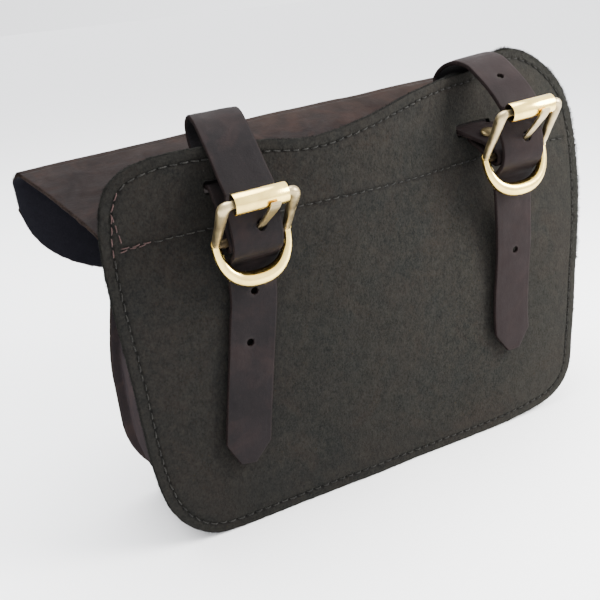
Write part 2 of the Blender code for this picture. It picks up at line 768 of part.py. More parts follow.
def build_rivet(hanger):
    """A tubular rivet: a post with a flat base inside, a domed cap outside."""
    along, outward = hanger.chape_axes()
    wide = outward.cross(along).normalized()
    at = hanger.bar - along * hanger.rivet_at + hanger.width_hint * hanger.rivet_side
    layer = (STRAP_T + GAP + 0.1) / 2 + 0.35
    top = layer + STRAP_T / 2 + GAP
    frame = axes_matrix(wide, along, outward, at)
    base = -top - 0.25
    post = [(0, top + 1.1), (RIVET_POST_R, top + 1.1), (RIVET_POST_R, base), (3.6, base),
            (3.6, base - 0.8), (0, base - 0.8)]
    add_object(f"rivet_post_{hanger.side}", turned(post, 14, frame), BRASS)
    rim = top + 0.7
    cap = [(RIVET_CAP_R, rim), (RIVET_CAP_R, rim + 0.5), (3.6, rim + 1.2), (2.0, rim + 1.7),
           (0, rim + 1.9), (0, rim + 0.8), (RIVET_POST_R + 0.4, rim + 0.8),
           (RIVET_POST_R + 0.4, rim)]
    add_object(f"rivet_cap_{hanger.side}", turned(cap, 18, frame), BRASS)


# ---- buckles ----------------------------------------------------------------------
def buckle_empty(hanger, name, y=0.0, z=0.0):
    empty = bpy.data.objects.new(name, None)
    empty.parent = bag_origin
    matrix = hanger.pose @ Matrix.Translation((0, y, z))
    matrix.translation = matrix.translation * MM
    empty.matrix_local = matrix
    bpy.context.scene.collection.objects.link(empty)
    return empty


def build_buckle(hanger):
    side = hanger.side
    reach_y = FRAME_REACH * sin(FRAME_TILT)
    reach_z = FRAME_REACH * cos(FRAME_TILT)
    pivot = buckle_empty(hanger, f"bar_axis_{side}")

    # one wire: roller bar, side, ring, side
    path = []
    for k in range(7):
        path.append((ROLLER_BAR_HALF * (0.76 - 1.52 * k / 6), 1.0, ROLLER_BAR_R))
    side_points = [(-ROLLER_BAR_HALF * 0.93, 0.985, ROLLER_BAR_R + 0.3),
                   (-ROLLER_BAR_HALF, 0.92, WIRE_R), (-ROLLER_BAR_HALF - 0.2, 0.8, WIRE_R + 0.2),
                   (-BAR_HALF + 0.4, 0.5, WIRE_R), (-BAR_HALF, 0.2, WIRE_R - 0.2)]
    path += side_points
    for k in range(15):
        a = pi * k / 14
        x = -BAR_HALF * abs(cos(a)) ** 0.85 * (1 if a < pi / 2 else -1)
        path.append((x, -abs(sin(a)) ** 0.85, RING_END_R + (RING_R - RING_END_R) * abs(sin(a)) ** 2.5))
    path += [(-x, share, r) for x, share, r in reversed(side_points)]
    points = []
    for x, share, _ in path:
        if share >= 0:
            points.append(Vector((x, reach_y * share, reach_z * share)))
        else:
            points.append(Vector((x, 0, RING_DROP * share)))
    wire = tube(points, [r for _, _, r in path], 8, closed=True)
    frame = add_object(f"buckle_frame_{side}", wire, BRASS, pivot)
    bar = rod(BAR_R, 2 * BAR_HALF, Matrix.Rotation(radians(90), 4, "Y"), 12)
    boolean(frame, add_object(f"join_bar_{side}", bar, BRASS, pivot), "UNION")

    roller_axis = buckle_empty(hanger, f"roller_axis_{side}", reach_y, reach_z)
    wall = [(ROLLER_R, -ROLLER_HALF), (ROLLER_R, ROLLER_HALF), (ROLLER_BORE_R, ROLLER_HALF),
            (ROLLER_BORE_R, -ROLLER_HALF)]
    add_object(f"roller_{side}", turned(wall, 20, Matrix.Rotation(radians(90), 4, "Y")), BRASS,
               roller_axis)

    eye_r = BAR_R + 0.35
    low, high = TONGUE_X - TONGUE_W / 2, TONGUE_X + TONGUE_W / 2
    eye = [(eye_r + 1.3, low), (eye_r + 1.3, high), (eye_r, high), (eye_r, low)]
    tongue = add_object(f"tongue_{side}", turned(eye, 16, Matrix.Rotation(radians(90), 4, "Y")),
                        BRASS, pivot)
    aim = Vector((0, cos(TONGUE_ANGLE), sin(TONGUE_ANGLE)))
    up = Vector((0, -sin(TONGUE_ANGLE), cos(TONGUE_ANGLE)))
    rows = []
    bm = bmesh.new()
    arm = [(eye_r + 0.6, 0, 1.0), (14, 0, 1.0), (TONGUE_LENGTH - 8, 0, 0.95),
           (TONGUE_LENGTH - 4, 0.6, 0.85), (TONGUE_LENGTH, 2.2, 0.6)]
    for distance, lift, share in arm:
        centre = aim * distance + up * lift
        half_w = TONGUE_W / 2 * share
        half_t = TONGUE_T / 2 * share
        corners = [(1, 1), (1, -1), (-1, -1), (-1, 1)]
        middle = TONGUE_X + TONGUE_SKEW * (distance - eye_r)
        rows.append([bm.verts.new(centre + Vector((middle + a * half_w, 0, 0)) + up * (b * half_t))
                     for a, b in corners])
    skin(bm, rows, closed_cols=True)
    bm.faces.new(rows[0])
    bm.faces.new(reversed(rows[-1]))
    boolean(tongue, add_object(f"join_tongue_{side}", bm, BRASS, pivot), "UNION")


# ---- sewing -----------------------------------------------------------------------
def build_threads():
    off = 0.3 + THREAD_R
    loop = back_outline(100, STITCH_INSET)
    points = [Vector((p.x, lean(p.x, p.y) + off, p.y)) for p in loop]
    add_object("thread_back_seam", tube(points, [THREAD_R] * 100, 4, closed=True), THREAD)

    points = []
    for k in range(41):
        x = 139.0 - 284.5 * k / 40
        points.append(Vector((x, lean(x, SEAM_Z) + off, SEAM_Z)))
    add_object("thread_flap_seam", tube(points, [THREAD_R] * 41, 4), THREAD)

    line = inset(front_u(80), -STITCH_INSET, closed=False)[1:-1]
    points = [Vector((p.x, front(p.x, p.y) - PANEL_T / 2 - off, p.y)) for p in line]
    add_object("thread_front_seam", tube(points, [THREAD_R] * len(points), 4), THREAD)


build_back_panel()
build_lining()
build_front_panel()
build_gusset()
build_flap_margin()
build_flap_top()
build_flap_front()
for each in HANGERS:
    build_strap(each)
    build_rivet(each)
    build_buckle(each)
build_threads()
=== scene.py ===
from math import cos, pi, radians, sin

import bmesh
import bpy
import numpy as np
from mathutils import Matrix, Vector, noise
from mathutils.geometry import delaunay_2d_cdt
from mathutils.kdtree import KDTree


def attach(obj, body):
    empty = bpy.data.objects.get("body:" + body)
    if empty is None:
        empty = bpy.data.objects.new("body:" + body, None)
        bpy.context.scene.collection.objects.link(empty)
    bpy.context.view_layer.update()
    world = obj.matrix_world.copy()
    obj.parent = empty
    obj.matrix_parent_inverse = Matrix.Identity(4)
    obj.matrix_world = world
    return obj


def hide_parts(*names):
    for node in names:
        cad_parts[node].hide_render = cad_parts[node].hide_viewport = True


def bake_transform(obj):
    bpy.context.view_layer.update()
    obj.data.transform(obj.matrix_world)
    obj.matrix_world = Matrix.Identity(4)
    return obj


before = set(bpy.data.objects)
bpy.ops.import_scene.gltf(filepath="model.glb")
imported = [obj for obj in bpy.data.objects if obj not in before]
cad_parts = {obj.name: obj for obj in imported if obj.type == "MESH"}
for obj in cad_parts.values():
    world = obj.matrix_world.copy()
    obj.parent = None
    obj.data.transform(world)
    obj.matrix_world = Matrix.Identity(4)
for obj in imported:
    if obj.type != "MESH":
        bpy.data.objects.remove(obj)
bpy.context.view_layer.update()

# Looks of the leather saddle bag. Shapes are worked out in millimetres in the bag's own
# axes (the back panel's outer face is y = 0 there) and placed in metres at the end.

MM = 0.001
ORIGIN = np.array((0.0, 24.7, 0.0))      # the bag's own axes in the row frame, mm
RNG = np.random.default_rng(11)

# ---- sizes, mm: the same as the CAD part's ----------------------------------------
GAP = 0.4
PANEL_T = 2.6
LINING_T = 2.0
GUSSET_T = 2.0
FLAP_T = 2.4
STRAP_T = 2.5
STRAP_W = 25.0
SEAM_Z = 164.5
LINING_Z = 158.0
BODY_TOP_Z = 150.0
FRONT_Y = -66.5
FRONT_BULGE = 4.0
STITCH_INSET = 5.5
STITCH_PITCH = 5.2
STITCH_R = 0.29
STITCH_LIFT = 0.20
CUT_EDGE_R = 0.5
FLANGE = 6.5
LEAN_DEPTH = 10.8
LEAN_X = -38.0
LEAN_SPREAD = 48.0
LEAN_CUT = 0.06
BACK_OUTLINE = [
    (0, 0), (60, 0), (100, 0), (118, 3), (131, 13.5), (139, 29), (143, 55), (145, 100),
    (147.5, 145), (146.5, 175), (139, 193.5), (122, 201), (95, 202.3), (63, 200.5),
    (35, 197.5), (3, 201.5), (-30, 208), (-62, 211.6), (-82, 213.2), (-104, 220.6),
    (-123, 219), (-140, 208.5), (-152, 191), (-155.5, 165), (-152.5, 130), (-145, 90),
    (-137, 47), (-131, 19.5), (-116, 6), (-92, 1.5), (-60, 0)]
FRONT_HALF_W = 141.5
FRONT_TOP_HALF_W = 131.0
FRONT_CORNER_R = 50.0
FLAP_REAR_HALF_W = 146.0
FLAP_HINGE_HALF_W = 162.8
FLAP_MAX_HALF_W = 166.5
RIDGE_Z = 199.5
RIDGE_SLOPE = -0.0454
RIDGE_BACK_Y = -82.7
FOLD_R = 6.3
FOLD_TURN = radians(94)
FOLD_LEAD = 3.0
FLAP_SIDE = 13.7
FLAP_DROP = 82.0
FLAP_SETBACK = 1.0
FLAP_CURVE = 2.8             # power of the free edge's curve
MARGIN_ABOVE = 3.0
BEND_GAP = 0.6
BAR_R = 2.2
BAR_HALF = 17.5
RING_DROP = 20.2
RING_R = 3.9                # thickest at the bottom of the ring
RING_END_R = 2.4
ROLLER_BAR_HALF = 16.5
ROLLER_R = 4.8
ROLLER_HALF = 12.4
FRAME_REACH = 32.0
FRAME_TILT = radians(48)
ROLLER_Y = FRAME_REACH * sin(FRAME_TILT)     # the roller's axis in the buckle's own axes
ROLLER_Z = FRAME_REACH * cos(FRAME_TILT)
TONGUE_ANGLE = radians(30.5)
TONGUE_AIM = (0, cos(TONGUE_ANGLE), sin(TONGUE_ANGLE))
TONGUE_UP = (0, -sin(TONGUE_ANGLE), cos(TONGUE_ANGLE))
TONGUE_LENGTH = 38.0
TONGUE_X = -1.0
TONGUE_SKEW = -0.12
TONGUE_HOLE_AT = 12.9
RIVET_CAP_R = 4.5
TIP_LENGTH = 11.0
TIP_HALF_W = 4.5
SLITS = ((81.5, 183.3), (-79.0, 181.3))     # middles of the strap slits (x, z)
SLIT_H = 6.4
SLIT_HALF_W = 13.4
FOLD_R_BAR = BAR_R + GAP + STRAP_T / 2
HALF_FOLD = (STRAP_T + GAP + 0.1) / 2       # from a fold's middle to each layer's middle
HOLE_R = 2.0
SLOT_W = 6.6
SLOT_BACK = 6.5
SLOT_R = FOLD_R_BAR + STRAP_T / 2 + 0.7


# ---- small numeric helpers --------------------------------------------------------
def rows_of(x, y, z):
    """Rows of places from their three columns."""
    return np.stack((x, y, z), axis=1)


def smooth(t):
    t = np.clip(t, 0.0, 1.0)
    return t * t * (3 - 2 * t)


def unit(v):
    v = np.asarray(v, float)
    return v / np.maximum(np.linalg.norm(v, axis=-1, keepdims=True), 1e-9)


def wobble(points, size, octaves=3, seed=0.0):
    """Smooth noise at each point, about -1 to 1; size is the width of its bumps."""
    flat = np.asarray(points, float).reshape(-1, 3) / size + seed
    out = [noise.fractal(Vector(p), 0.9, 2.0, octaves) for p in flat]
    return np.array(out).reshape(np.asarray(points).shape[:-1])


def spline(points, per_span, closed=False):
    """Smooth curve through the points (rows of any one length)."""
    pts = np.asarray(points, float)
    n = len(pts)
    out = []
    for i in range(n if closed else n - 1):
        if closed:
            a, b, c, d = (pts[(i + k) % n] for k in (-1, 0, 1, 2))
        else:
            a, b, c, d = (pts[min(max(i + k, 0), n - 1)] for k in (-1, 0, 1, 2))
        for s in range(per_span):
            t = s / per_span
            out.append(0.5 * (2 * b + (c - a) * t + (2 * a - 5 * b + 4 * c - d) * t * t
                              + (3 * b - a - 3 * c + d) * t ** 3))
    if not closed:
        out.append(pts[-1])
    return np.array(out)


def lengths_along(points):
    steps = np.linalg.norm(np.diff(points[:, :3], axis=0), axis=1)
    return np.concatenate(([0.0], np.cumsum(steps)))


def resample(points, spacing=None, count=None, closed=False):
    """The same curve with evenly spaced points; its first three columns are the place."""
    pts = np.asarray(points, float)
    if closed:
        pts = np.vstack((pts, pts[:1]))
    at = lengths_along(pts)
    if count is None:
        count = max(int(round(at[-1] / spacing)), 4) + (0 if closed else 1)
    wanted = np.linspace(0, at[-1], count + 1)[:-1] if closed else np.linspace(0, at[-1], count)
    return np.stack([np.interp(wanted, at, pts[:, k]) for k in range(pts.shape[1])], axis=1)


def inset(points, distance, closed=True):
    """Move an (x, z) curve to its left by a distance."""
    if closed:
        d = np.roll(points, -1, axis=0) - np.roll(points, 1, axis=0)
    else:
        d = np.gradient(points, axis=0)
    d = unit(d)
    return points + np.stack((-d[:, 1], d[:, 0]), axis=1) * distance


def away_from(loop):
    """Directions out of an anticlockwise (x, z) loop, in 3-D."""
    d = unit(np.roll(loop, -1, axis=0) - np.roll(loop, 1, axis=0))
    return np.stack((d[:, 1], np.zeros(len(loop)), -d[:, 0]), axis=1)


def opened(loop):
    """A broken ring of points, put in order from one side of its gap to the other."""
    start = int(np.argmax(np.linalg.norm(loop - np.roll(loop, 1, axis=0), axis=1)))
    return np.roll(loop, -start, axis=0)


def lean(x, z):
    """The back panel's outer face: flat on the left, leaning in towards the upper right."""
    side = np.maximum(0.0, 1.0 - np.tanh((np.asarray(x, float) - LEAN_X) / LEAN_SPREAD) - LEAN_CUT)
    return -LEAN_DEPTH * side * (np.maximum(z, 0.0) / SEAM_Z) ** 1.6


def front(x, z):
    """Middle of the front panel, slightly bulged forward."""
    across = np.maximum(0.0, 1 - (np.asarray(x, float) / FRONT_HALF_W) ** 2)
    up = np.maximum(0.0, 1 - ((np.asarray(z, float) - 75) / 75) ** 2)
    return FRONT_Y - FRONT_BULGE * across * up


def back_outline(count, shrink=0.0):
    dense = spline(BACK_OUTLINE, 12, closed=True)
    dense[:, 1] = np.maximum(dense[:, 1], 0.0)
    pts = resample(dense, count=count, closed=True)
    return inset(pts, shrink) if shrink else pts


def front_u(count):
    """The front panel's sides and bottom, from its top left corner round to its top right."""
    z = np.arange(BODY_TOP_Z, FRONT_CORNER_R, -2.0)
    t = smooth((z - 75) / (BODY_TOP_Z - 75))
    side = np.stack((FRONT_HALF_W + (FRONT_TOP_HALF_W - FRONT_HALF_W) * t, z), axis=1)
    a = np.linspace(0, pi / 2, 30)
    centre = FRONT_HALF_W - FRONT_CORNER_R
    arc = np.stack((centre + FRONT_CORNER_R * np.cos(a), FRONT_CORNER_R * (1 - np.sin(a))), axis=1)
    half = np.vstack((side, arc))
    return resample(np.vstack((half, half[::-1] * (-1, 1))), count=count)


# ---- making objects ---------------------------------------------------------------
def make(name, verts, faces, mats, face_mats=None, body="bag", slot=None, replaces=(),
         masks=None, sharp=None):
    """A mesh object from points in millimetres, riding on a body (or on none)."""
    mesh = bpy.data.meshes.new(name)
    placed = (np.asarray(verts, float).reshape(-1, 3) + ORIGIN) * MM
    mesh.from_pydata(placed.tolist(), [], [list(map(int, f)) for f in faces])
    for mat in mats if isinstance(mats, (list, tuple)) else [mats]:
        mesh.materials.append(mat)
    if face_mats is not None:
        mesh.polygons.foreach_set("material_index", np.asarray(face_mats, np.int32))
    for key, values in (masks or {}).items():
        layer = mesh.attributes.new(key, "FLOAT", "POINT")
        layer.data.foreach_set("value", np.asarray(values, np.float32).ravel())
    bm = bmesh.new()
    bm.from_mesh(mesh)
    bmesh.ops.recalc_face_normals(bm, faces=bm.faces)
    bm.to_mesh(mesh)
    bm.free()
    mesh.shade_smooth()
    if sharp is not None:
        mesh.set_sharp_from_angle(angle=radians(sharp))
    obj = bpy.data.objects.new(name, mesh)
    bpy.context.scene.collection.objects.link(obj)
    if body:
        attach(obj, body)
    if replaces:
        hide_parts(*replaces)
    return obj


def grid_faces(index, closed_cols=False):
    """Quads over a grid of vertex numbers."""
    a = np.hstack((index, index[:, :1])) if closed_cols else index
    return np.stack((a[:-1, :-1], a[:-1, 1:], a[1:, 1:], a[1:, :-1]), axis=-1).reshape(-1, 4)


def grid_normals(p):
    return unit(np.cross(np.gradient(p, axis=0), np.gradient(p, axis=1)))


def swept(rings):
    """A solid through rings that have the same number of points, closed at both ends."""
    rings = np.array(rings)
    number = np.arange(rings.shape[0] * rings.shape[1]).reshape(rings.shape[:2])
    faces = grid_faces(number, closed_cols=True).tolist()
    return rings.reshape(-1, 3), faces + [number[0][::-1].tolist(), number[-1].tolist()]


# how a cut edge of leather is rounded: (share of the radius outwards, height)
RIM = [(0.0, 1.0), (0.62, 0.78), (1.0, 0.2), (1.0, -0.2), (0.62, -0.78), (0.0, -1.0)]


def leather_sheet(mid, normals, thickness, edge_r, rough, rough_size=1.2, puff=None):
    """A closed sheet round a grid of middle points, with rounded cut edges.
    Returns vertices, faces, face kinds (0 outer, 1 inner, 2 edge) and each vertex's edge mask."""
    rows, cols = mid.shape[:2]
    lift = np.zeros((rows, cols, 1)) if puff is None else puff[..., None]
    outer = mid + normals * (thickness / 2 + lift)
    inner = mid - normals * (thickness / 2 - lift * 0.5)
    number = np.arange(rows * cols).reshape(rows, cols)
    loop = np.concatenate((number[0], number[1:, -1], number[-1, -2::-1], number[-2:0:-1, 0]))
    # outwards: away from the neighbours inside the grid
    outwards = np.zeros_like(mid)
    outwards[0] += unit(mid[0] - mid[1])
    outwards[-1] += unit(mid[-1] - mid[-2])
    outwards[:, 0] += unit(mid[:, 0] - mid[:, 1])
    outwards[:, -1] += unit(mid[:, -1] - mid[:, -2])
    out_dir = unit(outwards.reshape(-1, 3)[loop])
    corner = [0, cols - 1, cols + rows - 2, 2 * cols + rows - 3]
    out_dir[corner] *= 1.2
    base = mid.reshape(-1, 3)[loop]
    up = normals.reshape(-1, 3)[loop]
    rim_lift = lift.reshape(-1)[loop][:, None]
    verts = [outer.reshape(-1, 3), inner.reshape(-1, 3)]
    total = rows * cols
    rings = [loop]
    start = 2 * total
    for share, height in RIM[1:-1]:
        ring = base + out_dir * (edge_r * share) + up * (height * thickness / 2 + rim_lift * 0.5)
        ring = ring + out_dir * (rough * wobble(ring, rough_size, 2, height * 3.1)[:, None])
        verts.append(ring)
        rings.append(np.arange(start, start + len(loop)))
        start += len(loop)
    rings.append(loop + total)
    faces = [grid_faces(number), grid_faces(number + total)]
    kinds = [np.zeros(len(faces[0])), np.ones(len(faces[1]))]
    faces.append(grid_faces(np.array(rings), closed_cols=True))
    kinds.append(np.full(len(faces[-1]), 2))
    edge = np.zeros(start)
    edge[2 * total:] = 1.0
    edge[loop] = 0.8
    edge[loop + total] = 0.8
    return np.vstack(verts), np.vstack(faces), np.concatenate(kinds), edge


def tube_mesh(points, radii, sides):
    """A round wire along points."""
    pts = np.asarray(points, float)
    tangent = unit(np.gradient(pts, axis=0))
    normal = unit(np.cross(tangent[0], (0.3, 0.2, 0.93)))
    angle = np.linspace(0, 2 * pi, sides, endpoint=False)
    rings = []
    for point, along, radius in zip(pts, tangent, radii):
        normal = unit(normal - along * np.dot(normal, along))
        other = np.cross(along, normal)
        rings.append(point + radius * (np.outer(np.cos(angle), normal)
                                       + np.outer(np.sin(angle), other)))
    return swept(rings)


def lathe_mesh(profile, sides, matrix):
    """A turned piece: a closed loop of (radius, height) round the matrix's z axis."""
    verts, faces, rows = [], [], []
    angle = np.linspace(0, 2 * pi, sides, endpoint=False)
    for r, h in profile:
        if r == 0:
            rows.append([len(verts)] * sides)
            verts.append((0, 0, h))
        else:
            rows.append(list(range(len(verts), len(verts) + sides)))
            verts += [(r * cos(a), r * sin(a), h) for a in angle]
    for i in range(len(profile)):
        a, b = rows[i], rows[(i + 1) % len(profile)]
        if profile[i][0] == 0 and profile[(i + 1) % len(profile)][0] == 0:
            continue
        for k in range(sides):
            quad = [a[k], b[k], b[(k + 1) % sides], a[(k + 1) % sides]]
            faces.append(list(dict.fromkeys(quad)))
    m = np.array(matrix)
    return np.array(verts) @ m[:3, :3].T + m[:3, 3], faces


def rod_profile(radius, half):
    return [(0, -half), (radius, -half), (radius, half), (0, half)]


ALONG_BAR = Matrix.Rotation(radians(90), 4, "Y")     # turns a lathe's axis to the buckle's bar


def axes_matrix(x_axis, y_axis, z_axis, origin):
    m = Matrix((x_axis, y_axis, z_axis)).transposed().to_4x4()
    m.translation = origin
    return m


def cut(obj, cutters):
    """Cut holes with helper objects, and leave the result in the mesh."""
    for cutter in cutters:
        mod = obj.modifiers.new("hole", "BOOLEAN")
        mod.operation = "DIFFERENCE"
        mod.solver = "EXACT"
        mod.object = cutter
    bpy.context.view_layer.update()
    evaluated = obj.evaluated_get(bpy.context.evaluated_depsgraph_get())
    mesh = bpy.data.meshes.new_from_object(evaluated)
    obj.modifiers.clear()
    obj.data = mesh
    for cutter in cutters:
        bpy.data.objects.remove(cutter)


def cutter_slot(wide, along, outward, at, mat):
    """The slot in the strap's fold for the tongue's eye: round over the bar, straight behind."""
    outline = [(SLOT_R * cos(radians(a)), SLOT_R * sin(radians(a))) for a in range(-90, 91, 10)]
    outline += [(-SLOT_BACK, SLOT_R), (-SLOT_BACK, -SLOT_R)]
    n = len(outline)
    verts = [at + wide * side + along * a + outward * b
             for side in (-SLOT_W / 2, SLOT_W / 2) for a, b in outline]
    faces = grid_faces(np.arange(2 * n).reshape(2, n), closed_cols=True).tolist()
    faces += [list(range(n)), list(range(2 * n - 1, n - 1, -1))]
    return make("cutter", [tuple(v) for v in verts], faces, mat, body=None)


def cutter_rod(radius, length, matrix, mat):
    """A rod that cuts a round hole; matrix puts it in place."""
    verts, faces = lathe_mesh(rod_profile(radius, length / 2), 24, matrix)
    return make("cutter", verts, faces, mat, body=None)


# ---- materials --------------------------------------------------------------------
class Shader:
    """A Principled material with short ways to add nodes."""

    def __init__(self, name, **sockets):
        self.mat = bpy.data.materials.new(name)
        self.mat.use_nodes = True
        self.tree = self.mat.node_tree
        self.out = self.tree.nodes["Principled BSDF"]
        for key, value in sockets.items():
            self.out.inputs[key.replace("_", " ")].default_value = value
        self.place = self.node("ShaderNodeTexCoord").outputs["Object"]
        self.tone = None

    def node(self, kind, **values):
        made = self.tree.nodes.new(kind)
        for key, value in values.items():
            setattr(made, key, value)
        return made

    def link(self, a, b):
        self.tree.links.new(a, b)

    def feed(self, socket, value):
        if isinstance(value, (int, float)):
            socket.default_value = value
        elif isinstance(value, tuple):
            socket.default_value = (*value, 1)
        else:
            self.link(value, socket)

    def stretch(self, x, y, z):
        """The object's coordinates, scaled, for grain that runs one way."""
        made = self.node("ShaderNodeMapping")
        made.inputs["Scale"].default_value = (x, y, z)
        self.link(self.place, made.inputs["Vector"])
        return made.outputs["Vector"]

    def noise(self, size_mm, detail=3.0, rough=0.55, twist=0.0, at=None):
        made = self.node("ShaderNodeTexNoise")
        made.inputs["Scale"].default_value = 1000.0 / size_mm
        made.inputs["Detail"].default_value = detail
        made.inputs["Roughness"].default_value = rough
        made.inputs["Distortion"].default_value = twist
        self.link(at if at is not None else self.place, made.inputs["Vector"])
        return made.outputs["Fac"]

    def cells(self, size_mm):
        made = self.node("ShaderNodeTexVoronoi")
        made.inputs["Scale"].default_value = 1000.0 / size_mm
        self.link(self.place, made.inputs["Vector"])
        return made.outputs["Distance"]

    def ramp(self, value, low, high, to_low=0.0, to_high=1.0):
        made = self.node("ShaderNodeMapRange")
        for socket, bound in zip(("From Min", "From Max", "To Min", "To Max"),
                                 (low, high, to_low, to_high)):
            made.inputs[socket].default_value = bound
        self.link(value, made.inputs["Value"])
        return made.outputs["Result"]

    def math(self, operation, a, b=0.0):
        made = self.node("ShaderNodeMath", operation=operation)
        self.feed(made.inputs[0], a)
        self.feed(made.inputs[1], b)
        return made.outputs[0]

    def mix(self, share, a, b):
        made = self.node("ShaderNodeMix", data_type="RGBA")
        self.feed(made.inputs["Factor"], share)
        self.feed(made.inputs[6], a)
        self.feed(made.inputs[7], b)
        return made.outputs[2]

    def lay(self, color, share, strength=None):
        """Lay a colour over the surface's colour so far."""
        if strength is not None:
            share = self.math("MULTIPLY", share, strength)
        self.tone = self.mix(share, self.tone, color)

    def mask(self, name):
        return self.node("ShaderNodeAttribute", attribute_name=name).outputs["Fac"]

    def coordinate(self, axis):
        """One coordinate of the object's space, in metres."""
        made = self.node("ShaderNodeSeparateXYZ")
        self.link(self.place, made.inputs[0])
        return made.outputs[axis]

    def finished(self, roughness, bumps):
        """The material, with its colour so far and bumps: (height, depth in mm), added up."""
        self.feed(self.out.inputs["Base Color"], self.tone)
        self.feed(self.out.inputs["Roughness"], roughness)
        total = None
        for value, depth in bumps:
            part = self.math("MULTIPLY", value, depth * MM)
            total = part if total is None else self.math("ADD", total, part)
        made = self.node("ShaderNodeBump")
        made.inputs["Strength"].default_value = 1.0
        made.inputs["Distance"].default_value = 1.0
        self.link(total, made.inputs["Height"])
        self.link(made.outputs["Normal"], self.out.inputs["Normal"])
        return self.mat


def suede_material():
    s = Shader("suede_olive_brown", Specular_IOR_Level=0.05, Sheen_Weight=0.03,
               Sheen_Roughness=0.5, Sheen_Tint=(0.62, 0.60, 0.52, 1))
    # broad tone: grey olive, with brown patches laid by noise
    s.tone = (0.0050, 0.0055, 0.0054)
    s.lay((0.0078, 0.0067, 0.0056), s.ramp(s.noise(62, 3, 0.6, 0.6), 0.40, 0.62))
    s.lay((0.0118, 0.0093, 0.0076), s.ramp(s.noise(19, 5, 0.66, 1.0), 0.40, 0.64), 0.55)
    s.lay((0.0044, 0.0047, 0.0043), s.ramp(s.noise(26, 4, 0.6, 1.2), 0.54, 0.72), 0.50)
    s.lay((0.0140, 0.0094, 0.0072), s.ramp(s.noise(34, 5, 0.7, 0.8), 0.50, 0.64), 0.50)
    # nap: short flecks that lie mostly down the panel
    flow = s.stretch(1.0, 1.0, 0.75)
    mottle = s.noise(3.2, 5, 0.85, 0.4, at=flow)
    fleck = s.noise(0.95, 4, 0.85, 0.3, at=flow)
    pits = s.noise(1.15, 3, 0.8, at=flow)
    s.lay((0.0185, 0.0168, 0.0132), s.ramp(mottle, 0.50, 0.62, 0.0, 0.55))
    s.lay((0.0026, 0.0027, 0.0026), s.ramp(mottle, 0.50, 0.38, 0.0, 0.60))
    s.lay((0.0200, 0.0192, 0.0165), s.ramp(fleck, 0.42, 0.64, 0.0, 0.75))
    s.lay((0.0020, 0.0021, 0.0020), s.ramp(pits, 0.52, 0.66), 0.62)
    # lint
    s.lay((0.080, 0.080, 0.070), s.ramp(s.cells(9.0), 0.0, 0.040, 1.0, 0.0), 0.45)
    # the torn, shaggy strip along part of the cut edge
    ragged = s.mask("ragged")
    tufts = s.noise(1.7, 4, 0.8, 1.5)
    torn = s.mix(s.ramp(tufts, 0.44, 0.60), (0.0020, 0.0021, 0.0020), (0.0215, 0.0210, 0.0180))
    s.lay(torn, ragged, 0.85)
    # painted shade and painted light: darker at the left of the view, paler at the right, towards
    # the key lamp
    across = s.coordinate("X")
    s.lay((0.0024, 0.0026, 0.0028), s.ramp(across, -0.10, 0.16, 0.10, 0.46))
    s.lay((0.0230, 0.0222, 0.0190), s.ramp(across, -0.06, -0.165, 0.0, 0.22))
    s.lay((0.0022, 0.0022, 0.0021), s.mask("seam"), 0.60)
    bumps = [(s.math("MULTIPLY", tufts, ragged), 0.9), (fleck, 0.26),
             (s.noise(0.5, 2, 0.6), 0.10), (s.noise(4.5, 3, 0.6), 0.25),
             (s.ramp(s.cells(1.9), 0.0, 0.6), 0.08)]
    return s.finished(0.97, bumps)


def cut_edge_material(name, base, light):
    """A cut edge of leather: loose fibres, lighter or darker than the face."""
    s = Shader(name, Specular_IOR_Level=0.02)
    fibre = s.noise(0.55, 4, 0.75, 0.8)
    s.tone = base
    s.lay(light, s.ramp(fibre, 0.40, 0.68))
    s.lay(base, s.ramp(s.noise(7, 3), 0.45, 0.7, 0.0, 0.6))
    return s.finished(0.92, [(fibre, 0.30), (s.noise(1.6, 3), 0.30)])


